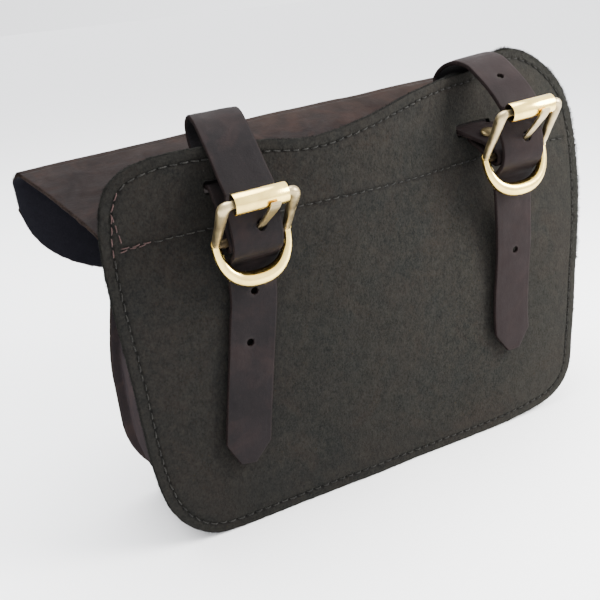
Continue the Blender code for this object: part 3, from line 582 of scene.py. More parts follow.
def smooth_leather(name, dark, mid, warm_and_lit, scuff_and_sheen, rough, scuffs, along=2, shine=0.04,
                   top_sheen_heights=None, painted_light_x=None):
    """Oiled smooth leather. along: 0, 1 or 2, the axis that its pulled grain follows.
    top_sheen_heights: the heights in metres between which it turns to the scuff and sheen tone: a
    painted sheen on the tops.
    painted_light_x: the places along x between which it turns to the warm_and_lit colour: painted
    light on the side towards the key lamp."""
    s = Shader(name, Specular_IOR_Level=shine)
    s.tone = dark
    s.lay(mid, s.ramp(s.noise(48, 3, 0.6, 0.5), 0.36, 0.62))
    s.lay(warm_and_lit, s.ramp(s.noise(21, 4, 0.62, 1.0), 0.48, 0.72, 0.0, 0.75))
    scale = [1.0, 1.0, 1.0]
    scale[along] = 0.16
    pull = s.noise(2.4, 4, 0.7, 0.5, at=s.stretch(*scale))
    s.lay(dark, s.ramp(pull, 0.46, 0.74, 0.0, 0.35))
    if top_sheen_heights is not None:
        # painted sheen: the tops turn lighter by height
        high = s.math("ADD", s.coordinate("Z"), s.ramp(s.noise(16, 3), 0.3, 0.7, -0.004, 0.004))
        s.lay(scuff_and_sheen, s.ramp(high, *top_sheen_heights, 0.0, 0.34))
    if painted_light_x is not None:
        # painted light: warmer and paler towards the key lamp's side
        s.lay(warm_and_lit, s.ramp(s.coordinate("X"), *painted_light_x, 0.0, 0.45))
    # pull-up: rubbed places turn lighter
    rub = s.math("MULTIPLY", s.ramp(s.noise(9, 5, 0.72, 1.6), 0.54, 0.76),
                 s.ramp(s.noise(40, 2), 0.42, 0.62))
    s.lay(scuff_and_sheen, rub, scuffs)
    s.lay(scuff_and_sheen, s.ramp(s.noise(0.9, 2, 0.7), 0.5, 0.8, 0.0, 0.18))
    s.lay(scuff_and_sheen, s.ramp(s.mask("edge"), 0.25, 0.85), 0.16)
    # painted highlight on the rims of the strap's holes
    s.lay(scuff_and_sheen, s.mask("hole"), 0.30)
    gloss = s.math("ADD", s.noise(12, 4, 0.65, 0.8), s.math("MULTIPLY", rub, 0.25))
    bumps = [(s.cells(0.75), 0.035), (s.noise(1.3, 4, 0.65), 0.07), (pull, 0.05),
             (s.noise(7, 3), 0.22)]
    return s.finished(s.ramp(gloss, 0.3, 0.85, rough - 0.08, rough + 0.2), bumps)


def flesh_side(name, dark, light):
    """The inner side of leather."""
    s = Shader(name, Specular_IOR_Level=0.08, Sheen_Weight=0.03, Sheen_Roughness=0.6)
    fibre = s.noise(1.1, 4, 0.7, 0.6)
    s.tone = dark
    s.lay(light, s.ramp(fibre, 0.36, 0.7))
    s.lay(dark, s.ramp(s.noise(30, 3), 0.45, 0.65, 0.0, 0.5))
    return s.finished(0.93, [(fibre, 0.22), (s.noise(0.4, 2), 0.06)])


def brass_material(name, base, dull, tarnish, rough):
    """Antique brass plate: bright where it is rubbed, dull and brown in places."""
    s = Shader(name, Metallic=1.0)
    s.tone = base
    s.lay(dull, s.ramp(s.noise(8.0, 2, 0.5, 0.5), 0.40, 0.70), tarnish)
    s.lay((0.14, 0.10, 0.06), s.ramp(s.noise(1.1, 2, 0.6), 0.62, 0.80), 0.25)
    # painted shade and dark reflection on the sides that face inwards or back
    s.lay((0.11, 0.080, 0.040), s.mask("painted_shade"), 0.85)
    return s.finished(s.ramp(s.noise(3.0, 4, 0.65), 0.3, 0.75, rough - 0.05, rough + 0.14),
                      [(s.noise(0.6, 2, 0.5), 0.003), (s.noise(3.6, 1), 0.03)])


def thread_material(name, base, light):
    """Waxed thread: most stitches are dull with dirt, a few still show its colour."""
    s = Shader(name, Specular_IOR_Level=0.1, Sheen_Weight=0.05)
    twist = s.ramp(s.noise(0.45, 3, 0.6), 0.35, 0.7)
    clean = s.ramp(s.noise(13, 3, 0.7), 0.40, 0.66, 0.12, 1.0)
    s.tone = base
    s.lay(light, s.math("MULTIPLY", twist, clean))
    return s.finished(0.82, [(twist, 0.10)])


SUEDE = suede_material()
SUEDE_EDGE = cut_edge_material("suede_cut_edge", (0.0030, 0.0031, 0.0030), (0.0180, 0.0175, 0.0150))
LINING = flesh_side("lining_inner_side", (0.0050, 0.0050, 0.0044), (0.0110, 0.0104, 0.0088))
BODY = smooth_leather("leather_body", (0.0200, 0.0168, 0.0180), (0.0275, 0.0222, 0.0230),
                      (0.0380, 0.0270, 0.0252), (0.0460, 0.0350, 0.0320), 0.62, 0.30, shine=0.0)
# the strap: a painted sheen on its loops' tops, and painted light, warmer, on the strap towards the
# key lamp
STRAP = smooth_leather("leather_strap", (0.0055, 0.0048, 0.0051), (0.0078, 0.0064, 0.0067),
                       (0.0140, 0.0092, 0.0088), (0.0250, 0.0190, 0.0180), 0.56, 0.22,
                       top_sheen_heights=(0.206, 0.220), painted_light_x=(0.0, -0.09))
# the flap: a painted sheen along its top
FLAP = smooth_leather("leather_flap", (0.0050, 0.0037, 0.0036), (0.0078, 0.0051, 0.0046),
                      (0.0150, 0.0078, 0.0060), (0.0300, 0.0195, 0.0150), 0.58, 0.50, along=0,
                      shine=0.03, top_sheen_heights=(0.190, 0.206))
STRAP_EDGE = cut_edge_material("strap_cut_edge", (0.0060, 0.0046, 0.0048), (0.020, 0.014, 0.013))
FLAP_EDGE = cut_edge_material("flap_cut_edge", (0.0050, 0.0038, 0.0037), (0.036, 0.025, 0.020))
STRAP_BACK = flesh_side("strap_inner_side", (0.0050, 0.0045, 0.0052), (0.0095, 0.0080, 0.0088))
FLAP_BACK = flesh_side("flap_inner_side", (0.0042, 0.0042, 0.0066), (0.0080, 0.0076, 0.0108))
BRIGHT = brass_material("brass_bright", (0.97, 0.72, 0.21), (0.50, 0.34, 0.10), 0.45, 0.17)
ANTIQUE = brass_material("brass_antique", (0.48, 0.38, 0.20), (0.17, 0.13, 0.070), 0.70, 0.33)
DULL = brass_material("brass_dull", (0.16, 0.12, 0.055), (0.08, 0.06, 0.035), 0.9, 0.38)
# dark brass: tarnish with painted shade, for the bar in shade between wire and strap and for the
# roller's inside
TARNISH_AND_SHADE = brass_material("brass_tarnish_and_painted_shade", (0.050, 0.036, 0.020), (0.022, 0.017, 0.011), 0.9, 0.42)
THREAD = thread_material("thread_olive", (0.0046, 0.0045, 0.0040), (0.038, 0.036, 0.031))
THREAD_RED = thread_material("thread_reddish", (0.030, 0.016, 0.015), (0.105, 0.062, 0.056))


# ---- loose fibres at cut edges ----------------------------------------------------
FLAP_FIBRES = 4200               # tries; a fibre is left out where a clump is thin
SUEDE_FIBRES = 7500
TORN_FIBRES = 9000


def fibres(roots, away, across, depth, count, length):
    """Thin tapered fibres that stand out from a cut edge, in clumps."""
    verts, faces = [], []
    across = np.asarray(across, float)
    for _ in range(count):
        i = int(RNG.integers(len(roots)))
        clump = 0.5 + 0.5 * noise.noise(Vector(roots[i] / 7.0))
        if RNG.uniform() > 0.25 + 0.75 * clump:
            continue
        root = roots[i] + across * (depth * RNG.uniform(-0.5, 0.5))
        aim = unit(away[i] + RNG.normal(0, 0.55, 3))
        long = RNG.uniform(*length) * (0.5 + clump)
        side = unit(np.cross(aim, RNG.normal(0, 1, 3)))
        other = np.cross(aim, side)
        width = RNG.uniform(0.05, 0.11)
        start = len(verts)
        for j in range(3):
            a = 2 * pi * j / 3
            verts.append(root + (side * cos(a) + other * sin(a)) * width)
        verts.append(root + aim * long + side * (RNG.uniform(-0.3, 0.3) * long))
        faces += [[start, start + 1, start + 2], [start, start + 3, start + 1],
                  [start + 1, start + 3, start + 2], [start + 2, start + 3, start]]
    return np.array(verts), faces


# ---- panels cut from flat leather -------------------------------------------------
def inside(points, loop):
    """Which (x, z) points lie inside a closed loop."""
    x, z = points[:, 0], points[:, 1]
    hit = np.zeros(len(points), bool)
    for (x1, z1), (x2, z2) in zip(loop, np.roll(loop, -1, axis=0)):
        if z1 == z2:
            continue
        crosses = (z1 > z) != (z2 > z)
        hit ^= crosses & (x < (x2 - x1) * (z - z1) / (z2 - z1) + x1)
    return hit


HOLE_RINGS = (0.8, 1.8, 3.0)     # distances of the rings of points round a hole, mm
HOLE_CLEAR = 3.6                 # where the even grid starts again
ROW_STEP = 0.866                 # height of an even triangle for a side of 1


def triangulated(loops, cloud):
    """A flat mesh of the points inside the first loop and outside the others. The cloud
    starts with the loops' own points. Returns points, triangles and each loop's numbers."""
    starts = [sum(len(loop) for loop in loops[:k]) for k in range(len(loops))]
    edges = [(start + k, start + (k + 1) % len(loop))
             for start, loop in zip(starts, loops) for k in range(len(loop))]
    found = delaunay_2d_cdt([Vector(p) for p in cloud], edges, [], 0, 1e-5)
    flat = np.array([tuple(v) for v in found[0]])
    tris = np.array([f for f in found[2] if len(f) == 3])
    middle = flat[tris].mean(axis=1)
    keep = inside(middle, loops[0])
    for hole in loops[1:]:
        keep &= ~inside(middle, hole)
    number_of = {old: new for new, olds in enumerate(found[3]) for old in olds}
    rims = [np.array([number_of[start + k] for k in range(len(loop))])
            for start, loop in zip(starts, loops)]
    return flat, tris[keep], rims


def panel(name, outline, offsets, spacing, near, far, mats, rough, holes=(), puff=None,
          seam=None, **kept):
    """A flat-cut panel between two faces given as y from (x, z). offsets are the rings of
    points inside the cut edge; near and far are the outer and inner face."""
    loops = [np.asarray(outline)] + [np.asarray(h) for h in holes]
    clouds = loops + [inset(outline, d) for d in offsets]
    for hole in loops[1:]:
        clouds += [inset(hole, -d) for d in HOLE_RINGS]
    core = inset(outline, offsets[-1] + spacing * 0.6)
    lo, hi = outline.min(0), outline.max(0)
    gx, gz = np.meshgrid(np.arange(lo[0], hi[0], spacing),
                         np.arange(lo[1], hi[1], spacing * ROW_STEP))
    gx[1::2] += spacing / 2
    grid = np.stack((gx.ravel(), gz.ravel()), axis=1)
    grid = grid[inside(grid, core)]
    for hole in loops[1:]:
        grid = grid[~inside(grid, inset(hole, -HOLE_CLEAR))]
    clouds.append(grid)
    flat, tris, rims = triangulated(loops, np.vstack(clouds))
    n = len(flat)
    x, z = flat[:, 0], flat[:, 1]
    bulge = np.zeros(n) if puff is None else puff(x, z)
    outer = rows_of(x, near(x, z) + bulge, z)
    inner = rows_of(x, far(x, z) + bulge * 0.4, z)
    verts = [outer, inner]
    faces = [t.tolist() for t in tris] + [t[::-1].tolist() for t in tris + n]
    kinds = [0] * len(tris) + [1] * len(tris)
    total = 2 * n
    for loop, ids in zip(loops, rims):
        away = away_from(loop)
        top, low = outer[ids], inner[ids]
        rings = [ids]
        for share, height in RIM[1:-1]:
            ring = (top + low) / 2 + (top - low) / 2 * height + away * CUT_EDGE_R * share
            ring = ring + away * (rough * wobble(ring, 1.1, 2, height * 3.1)[:, None])
            ring = ring + away * (rough * 0.8 * wobble(ring, 5.0, 2, 7.7)[:, None])
            verts.append(ring)
            rings.append(np.arange(total, total + len(loop)))
            total += len(loop)
        rings.append(ids + n)
        strip = grid_faces(np.array(rings), closed_cols=True)
        faces += strip.tolist()
        kinds += [2] * len(strip)
    verts = np.vstack(verts)
    edge = np.zeros(len(verts))
    edge[2 * n:] = 1.0
    masks = {"edge": edge}
    if seam is not None:
        masks["seam"] = seam(verts[:, 0], verts[:, 2])
        masks["ragged"] = raggedness(verts[:, 0], verts[:, 2])
    return make(name, verts, faces, mats, kinds, masks=masks, **kept)


def distance_to(marks, x, z):
    """Distance from each point (x, z) to the nearest mark."""
    tree = KDTree(len(marks))
    for i, m in enumerate(marks):
        tree.insert((m[0], m[1], 0), i)
    tree.balance()
    return np.array([tree.find((a, b, 0))[2] for a, b in zip(x, z)])


def rounded_slit(x, z):
    """A strap slit's outline, anticlockwise."""
    half_w, half_h = SLIT_HALF_W, SLIT_H / 2
    r = 1.2
    pts = []
    for cx, cz, start in ((half_w - r, half_h - r, 0), (-half_w + r, half_h - r, 90),
                          (-half_w + r, -half_h + r, 180), (half_w - r, -half_h + r, 270)):
        for k in range(5):
            a = radians(start + 22.5 * k)
            pts.append((x + cx + r * cos(a), z + cz + r * sin(a)))
    return resample(np.array(pts), spacing=0.9, closed=True)


SLIT_HOLES = [rounded_slit(x, z) for x, z in SLITS]


BACK_SEAM = resample(back_outline(1400, STITCH_INSET), spacing=STITCH_PITCH, closed=True)
FLAP_SEAM = np.stack((np.linspace(139.0, -145.5, 55), np.full(55, SEAM_Z)), axis=1)
FLAP_SEAM[:, 1] += 0.5 * np.sin(FLAP_SEAM[:, 0] / 23.0)
SEAM_MARKS = np.vstack((BACK_SEAM, FLAP_SEAM))
EDGE_MARKS = back_outline(1400)
# the whole stitch lines, for the groove that the thread pulls into the suede
SEAM_LINE = np.vstack((back_outline(1400, STITCH_INSET), resample(FLAP_SEAM, spacing=0.8)))


def suede_relief(x, z):
    """How far the suede stands out or in, mm: soft waves, the sewn groove, needle holes."""
    at = rows_of(x, 0 * x, z)
    out = 0.55 * wobble(at, 46.0, 2) + 0.16 * wobble(at, 9.0, 3, 5.0)
    out -= 0.42 * np.exp(-(distance_to(SEAM_LINE, x, z) / 1.1) ** 2)
    out -= 0.45 * np.exp(-(distance_to(SEAM_MARKS, x, z) / 0.75) ** 2)
    # hollows where the straps pull through their slits
    for (slit_x, slit_z), depth in zip(SLITS, (1.2, 2.6)):
        away = ((x - slit_x) / 26) ** 2 + ((z - slit_z - 2) / 17) ** 2
        out -= depth * np.exp(-away)
    out += 0.34 * raggedness(x, z) * wobble(at, 1.7, 2, 9.0)
    return out


def seam_mask(x, z):
    """1 at the needle's holes, less along the stitch lines."""
    hole = np.exp(-(distance_to(SEAM_MARKS, x, z) / 0.8) ** 2)
    line = np.exp(-(distance_to(SEAM_LINE, x, z) / 0.9) ** 2)
    return np.clip(hole + 0.45 * line, 0, 1)


def raggedness(x, z):
    """1 where the suede's edge is torn and shaggy, at the upper right, fading inwards."""
    edge = distance_to(EDGE_MARKS, x, z)
    place = smooth((-x - 60) / 55) * smooth((z - 60) / 70)
    return smooth(1.35 - edge / 7.5) * np.clip(0.25 + place, 0, 1)


def build_back_panel():
    outline = inset(back_outline(1180), 0.5)
    panel("back_panel_suede", outline, (0.8, 1.8, 2.8, 3.7, 4.3, 4.7, 5.0, 5.3, 5.7, 6.3, 7.4),
          1.9, lean, lambda x, z: lean(x, z) - PANEL_T, (SUEDE, LINING, SUEDE_EDGE),
          holes=SLIT_HOLES, rough=0.28, puff=suede_relief, seam=seam_mask, slot="suede",
          replaces=("back_panel",))


def build_lining():
    """The second layer behind the ears, from the flap's seam up to the cut edge."""
    outline = back_outline(900, 1.6)
    top = opened(outline[outline[:, 1] > LINING_Z + 0.6])
    low = np.linspace(top[-1] * (1, 0) + (0, LINING_Z + 0.5),
                      top[0] * (1, 0) + (0, LINING_Z + 0.5), 240)
    outline = resample(np.vstack((top, low)), spacing=1.2, closed=True)
    rear = PANEL_T + GAP
    panel("ear_lining_leather", outline, (0.9, 2.2, 3.8), 2.6,
          lambda x, z: lean(x, z) - rear + 0.3 * suede_relief(x, z) - 0.25,
          lambda x, z: lean(x, z) - rear - LINING_T, (LINING, SUEDE, SUEDE_EDGE),
          holes=SLIT_HOLES, rough=0.2, seam=lambda x, z: np.zeros_like(x), slot="suede",
          replaces=("ear_lining",))


def build_front_panel():
    """The front of the body, with a slightly hollow upper edge."""
    sides = front_u(330)
    x = np.linspace(sides[-1][0], sides[0][0], 140)[1:-1]
    top = np.stack((x, BODY_TOP_Z - 5 * (1 - (x / FRONT_TOP_HALF_W) ** 2)), axis=1)
    outline = inset(np.vstack((sides, top)), -0.5)[::-1]
    if not inside(inset(outline, 3.0)[:1], outline)[0]:
        outline = outline[::-1]
    outline = inset(outline, 1.0)
    half = PANEL_T / 2

    def waves(x, z):
        return -0.7 * wobble(rows_of(x, 0 * x, z), 40.0, 2, 3.0)

    panel("front_panel_leather", outline, (0.9, 2.0, 3.2, 4.4, 5.5, 6.8), 2.6,
          lambda x, z: front(x, z) - half, lambda x, z: front(x, z) + half,
          (BODY, STRAP_BACK, FLAP_EDGE), rough=0.12, puff=waves, slot="body_leather",
          replaces=("front_panel",))


# ---- the gusset -------------------------------------------------------------------
def rear_u(count):
    """The back panel's sides and bottom below the body's mouth, left to right."""
    pts = back_outline(1600)
    loop = opened(pts[pts[:, 1] <= BODY_TOP_Z])
    if loop[0][0] < loop[-1][0]:
        loop = loop[::-1]
    return resample(loop, count=count)


def build_gusset():
    """One strip round the sides and bottom, with its edges turned in against the panels."""
    stations = 330
    rear, fore = rear_u(stations), front_u(stations)
    rear_in = inset(rear, -1.0, closed=False) - rear
    fore_in = inset(fore, -1.0, closed=False) - fore
    # across the strip: (share of the depth, inwards, distance off the panel)
    corner = 2.6
    middle = FLANGE + GUSSET_T / 2
    across = [(0, s, GUSSET_T / 2) for s in np.linspace(0.9, middle - corner, 6)]
    for a in np.linspace(0, pi / 2, 6)[1:]:
        across.append((0, middle - corner + corner * sin(a),
                       GUSSET_T / 2 + corner * (1 - cos(a))))
    web = [(d, middle - 3 * sin(pi * d), None) for d in np.linspace(0.07, 0.93, 24)]
    across = across + web + [(1, s, off) for _, s, off in reversed(across)]
    cols = []
    for share, inwards, off in across:
        p = rear + (fore - rear) * share
        p = p + (rear_in + (fore_in - rear_in) * share) * inwards
        y0 = lean(p[:, 0], p[:, 1]) - PANEL_T - GAP
        y1 = front(p[:, 0], p[:, 1]) + PANEL_T / 2 + GAP
        if off is None:
            y = y0 + (y1 - y0) * share
        else:
            y = y0 - off if share == 0 else y1 + off
        cols.append(rows_of(p[:, 0], y, p[:, 1]))
    mid = np.stack(cols, axis=1)
    normals = grid_normals(mid)
    if (normals[stations // 2, 20] @ np.array((0, 0, -1.0))) < 0:
        normals = -normals
    crease = 0.55 * wobble(mid * (1, 0.35, 1), 16.0, 3, 2.0)
    weight = smooth((np.abs(np.arange(len(across)) - len(across) / 2) / -10) + 1.6)
    mid = mid + normals * (crease * weight[None, :])[..., None]
    verts, faces, kinds, edge = leather_sheet(mid, normals, GUSSET_T, 0.35, rough=0.1)
    make("gusset_leather", verts, faces, (BODY, STRAP_BACK, FLAP_EDGE), kinds,
         masks={"edge": edge}, slot="body_leather", replaces=("gusset",))


# ---- the flap ---------------------------------------------------------------------
def ridge_z(x):
    return RIDGE_Z + RIDGE_SLOPE * x


def seam_y(x, z):
    """Face of the flap's sewn margin that lies against the lining."""
    return lean(x, z) - PANEL_T - GAP - LINING_T - GAP


def flap_top_row(s, t):
    x = s * (FLAP_REAR_HALF_W + (FLAP_HINGE_HALF_W - FLAP_REAR_HALF_W) * t)
    y0 = seam_y(s * FLAP_REAR_HALF_W, SEAM_Z + 8) - FLAP_T / 2 - FLAP_SETBACK
    z0 = SEAM_Z + MARGIN_ABOVE + BEND_GAP + FLAP_T / 2
    y = y0 + (RIDGE_BACK_Y + 1.6 - y0) * t
    z = z0 + (ridge_z(x) - 1.0 - z0) * t ** 0.85
    return rows_of(x, y, z)


def flap_front_row(s, t):
    free = (1 - np.abs(s) ** FLAP_CURVE) ** (1 / FLAP_CURVE)
    v = t * (FLAP_SIDE + (FLAP_DROP - FLAP_SIDE) * free)
    half = FLAP_HINGE_HALF_W + (FLAP_MAX_HALF_W - FLAP_HINGE_HALF_W) * smooth(v / FLAP_SIDE)
    x = s * half
    bend = FOLD_R * FOLD_TURN
    a = np.clip((v - FOLD_LEAD) / FOLD_R, 0, FOLD_TURN)
    rest = np.maximum(v - FOLD_LEAD - bend, 0)
    ahead = np.minimum(v, FOLD_LEAD) + FOLD_R * np.sin(a) + rest * cos(FOLD_TURN)
    ahead = ahead - 0.0006 * rest ** 2
    below = (1 - np.minimum(v, FOLD_LEAD) / FOLD_LEAD) + FOLD_R * (1 - np.cos(a))
    below = below + rest * sin(FOLD_TURN)
    return rows_of(x, RIDGE_BACK_Y - ahead, ridge_z(x) - below)


def build_flap():
    """The flap's one sheet from the seam over the fold to the free edge, and its sewn margin."""
    # columns crowd towards the two ends; the sheet stops just short of the CAD's sides
    j = np.linspace(0, 1, 236)
    s = 0.9972 * (0.45 * np.cos(pi * j) + 0.55 * (1 - 2 * j))
    rows = [flap_top_row(s, t) for t in np.linspace(0.004, 1, 46)]
    rows += [flap_front_row(s, t) for t in 0.996 * np.linspace(0, 1, 90)[1:] ** 1.6]
    mid = np.array(rows)
    normals = grid_normals(mid)
    if normals[10, 100][2] < 0:
        normals = -normals
    # the leather waves a little, except along the sewn edge
    soft = 0.9 * wobble(mid, 60.0, 2, 1.0) + 0.12 * wobble(mid, 9.0, 3, 4.0)
    fade = smooth(np.linspace(0, 1, len(rows)) * 6)[:, None]
    mid = mid + normals * (soft * fade)[..., None]
    verts, faces, kinds, edge = leather_sheet(mid, normals, FLAP_T, 0.5, rough=0.42,
                                              rough_size=1.6)
    # loose fibres all round the free edge
    ends = np.vstack((mid[2:, 0], mid[-1, 1:-1], mid[:1:-1, -1]))
    out_of = unit(np.vstack((mid[2:, 0] - mid[2:, 1], mid[-1, 1:-1] - mid[-2, 1:-1],
                             mid[:1:-1, -1] - mid[:1:-1, -2])))
    hairs, hair_faces = fibres(ends + out_of * 0.15, out_of, (0.2, 0.3, 0.9), FLAP_T,
                               FLAP_FIBRES, (0.5, 1.3))
    hair_faces = np.array(hair_faces) + len(verts)
    faces = faces.tolist() + hair_faces.tolist()
    verts = np.vstack((verts, hairs))
    kinds = np.concatenate((kinds, np.full(len(hair_faces), 2)))
    edge = np.concatenate((edge, np.ones(len(hairs))))
    flap = make("flap_leather_sheet", verts, faces, (FLAP, FLAP_BACK, FLAP_EDGE), kinds,
                body=None, masks={"edge": edge}, slot="flap_leather",
                replaces=("flap_top", "flap_front"))
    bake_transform(flap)

    x = np.linspace(FLAP_REAR_HALF_W - 0.6, -FLAP_REAR_HALF_W + 0.6, 180)
    z = np.linspace(LINING_Z + 0.9, SEAM_Z + MARGIN_ABOVE - 0.4, 8)
    xx, zz = np.meshgrid(x, z)
    mid = np.stack((xx, seam_y(xx, zz) - FLAP_T / 2, zz), axis=-1)
    normals = np.tile(np.array((0.0, -1.0, 0.0)), (*xx.shape, 1))
    verts, faces, kinds, edge = leather_sheet(mid, normals, FLAP_T, 0.4, rough=0.2)
    make("flap_margin_leather", verts, faces, (FLAP_BACK, FLAP, FLAP_EDGE), kinds,
         masks={"edge": edge}, slot="flap_leather", replaces=("flap_seam_margin",))


# ---- straps -----------------------------------------------------------------------
class Hanger:
    """One strap with its buckle, along the same route as in the CAD. pitch, yaw and roll
    turn the buckle about its bar's middle; back, over and tail are the route behind the
    panel, over the top and below the buckle; the hints are directions across the strap."""

    def __init__(self, side, slit, bar, pitch, yaw, roll, rivet_at, rivet_side, fold_length,
                 back, over, tail, slit_hint, loop_hint, holes):
        self.side = side
        self.slit = Vector((slit[0], float(lean(*slit)), slit[1]))
        turn = (Matrix.Rotation(radians(yaw), 4, "Z") @ Matrix.Rotation(radians(pitch), 4, "X")
                @ Matrix.Rotation(radians(roll), 4, "Y"))
        self.pose = Matrix.Translation(bar) @ turn
        self.bar = Vector(bar)
        self.width_hint = (turn @ Vector((1, 0, 0))).normalized()
        self.slit_hint = Vector(slit_hint).normalized()
        self.loop_hint = Vector(loop_hint).normalized()
        self.rivet_at = rivet_at
        self.rivet_side = rivet_side
        self.fold_length = fold_length
        self.back = back
        self.over = over
        self.tail = tail
        self.holes = holes
        self.along = self.bar - self.slit
        self.along.x = 0
        self.along.normalize()
        self.outward = self.width_hint.cross(self.along).normalized()
        if self.outward.z < 0:
            self.outward = -self.outward

    def placed(self, verts):
        """Points in the buckle's own axes, moved to the bag's."""
        m = np.array(self.pose)
        return np.asarray(verts) @ m[:3, :3].T + m[:3, 3]


HANGERS = [
    Hanger("left", SLITS[0], (80, 12.5, 159.5), 2.5, -5, 3, 13.5, 0.0, 18.5,
           back=[(81.5, -9.0, 189.5), (81.4, -13.2, 196.5), (81.3, -17.6, 204.5)],
           over=[(81.2, -17.6, 211.0), (81.0, -13.4, 214.9), (80.8, -8.2, 213.4),
                 (80.6, -3.6, 208.8), (80.4, 3.5, 200.8), (80.1, 12, 189.6), (79.8, 18.4, 181.2)],
           tail=[(79.2, 5.3, 137), (79.3, 3.9, 126), (82.0, 3.5, 110), (86.5, 3.5, 85),
                 (91.0, 3.6, 60), (94.6, 4.4, 39.5)],
           slit_hint=(1, 0, 0), loop_hint=(1, -0.03, -0.02), holes=[(79.0, 130), (84.4, 104)]),
    Hanger("right", SLITS[1], (-83, 6.5, 170), 11, -9, 4.5, 17.6, 3.9, 24.2,
           back=[(-79.6, -32.9, 189), (-80.4, -38.5, 196), (-81.3, -43.8, 203.5)],
           over=[(-82.2, -45.2, 209), (-82.4, -42, 214), (-82.6, -34.5, 218.0),
                 (-82.8, -25.5, 219.4), (-83, -16, 217.5), (-83, -7.4, 212.4),
                 (-83.2, 1, 206.2), (-83.4, 7.8, 199.6), (-83.6, 12.8, 192.6)],
           tail=[(-85.4, 2.5, 147), (-87.4, 0.4, 135), (-88.8, -1.4, 115), (-87.8, -2.0, 95),
                 (-85.0, -0.4, 76), (-84.0, 1.2, 62), (-83.8, 2.2, 50.5)],
           slit_hint=(1, 0.13, 0), loop_hint=(1, 0, -0.09),
           holes=[(-89.4, 110.8), (-83.0, 209.5)])]

THROUGH_BUCKLE = [(10.6, 14.6), (TONGUE_HOLE_AT * cos(TONGUE_ANGLE),
                                 TONGUE_HOLE_AT * sin(TONGUE_ANGLE)),
                  (10.0, -0.1), (6.4, -5.4), (0.3, -8.9), (-4.8, -12.6)]


def strap_route(hanger):
    """Middle points with a width direction, from the folded end to the tip of the tail."""
    along, outward, bar, hint = hanger.along, hanger.outward, hanger.bar, hanger.width_hint
    pts = [(bar - along * hanger.fold_length - outward * HALF_FOLD, hint),
           (bar - along * (hanger.fold_length * 0.62) - outward * (HALF_FOLD + 0.3), hint),
           (bar - along * 5.5 - outward * (FOLD_R_BAR - 0.3), hint)]
    for k in range(9):
        a = radians(-90 + 22.5 * k)
        pts.append((bar + along * (FOLD_R_BAR * cos(a)) + outward * (FOLD_R_BAR * sin(a)), hint))
    pts.append((bar - along * 5.5 + outward * (FOLD_R_BAR - 0.3), hint))
    pts.append((bar - along * (hanger.rivet_at - 1) + outward * (HALF_FOLD + 0.3), hint))
    slit = hanger.slit
    pts.append((slit + Vector((0, 2.4, -0.6)), (hint + hanger.slit_hint).normalized()))
    pts.append((slit + Vector((0, -2.0, 0)), hanger.slit_hint))
    pts.append((slit + Vector((0, -6.2, 1.4)), hanger.slit_hint))
    fold_points = len(pts)
    pts += [(Vector(p), hanger.slit_hint) for p in hanger.back]
    pts += [(Vector(p), hanger.loop_hint) for p in hanger.over]
    pts += [(hanger.pose @ Vector((0, y, z)), hint) for y, z in THROUGH_BUCKLE]
    pts += [(Vector(p), Vector((1, 0, 0))) for p in hanger.tail]
    raw = np.array([(*p, *w) for p, w in pts])
    line = spline(raw, 14)
    fold_end = lengths_along(line)[fold_points * 14]
    return resample(line, spacing=0.95), fold_end


STRAP_COLUMNS = 27
TONGUE_HOLE_R = 2.5


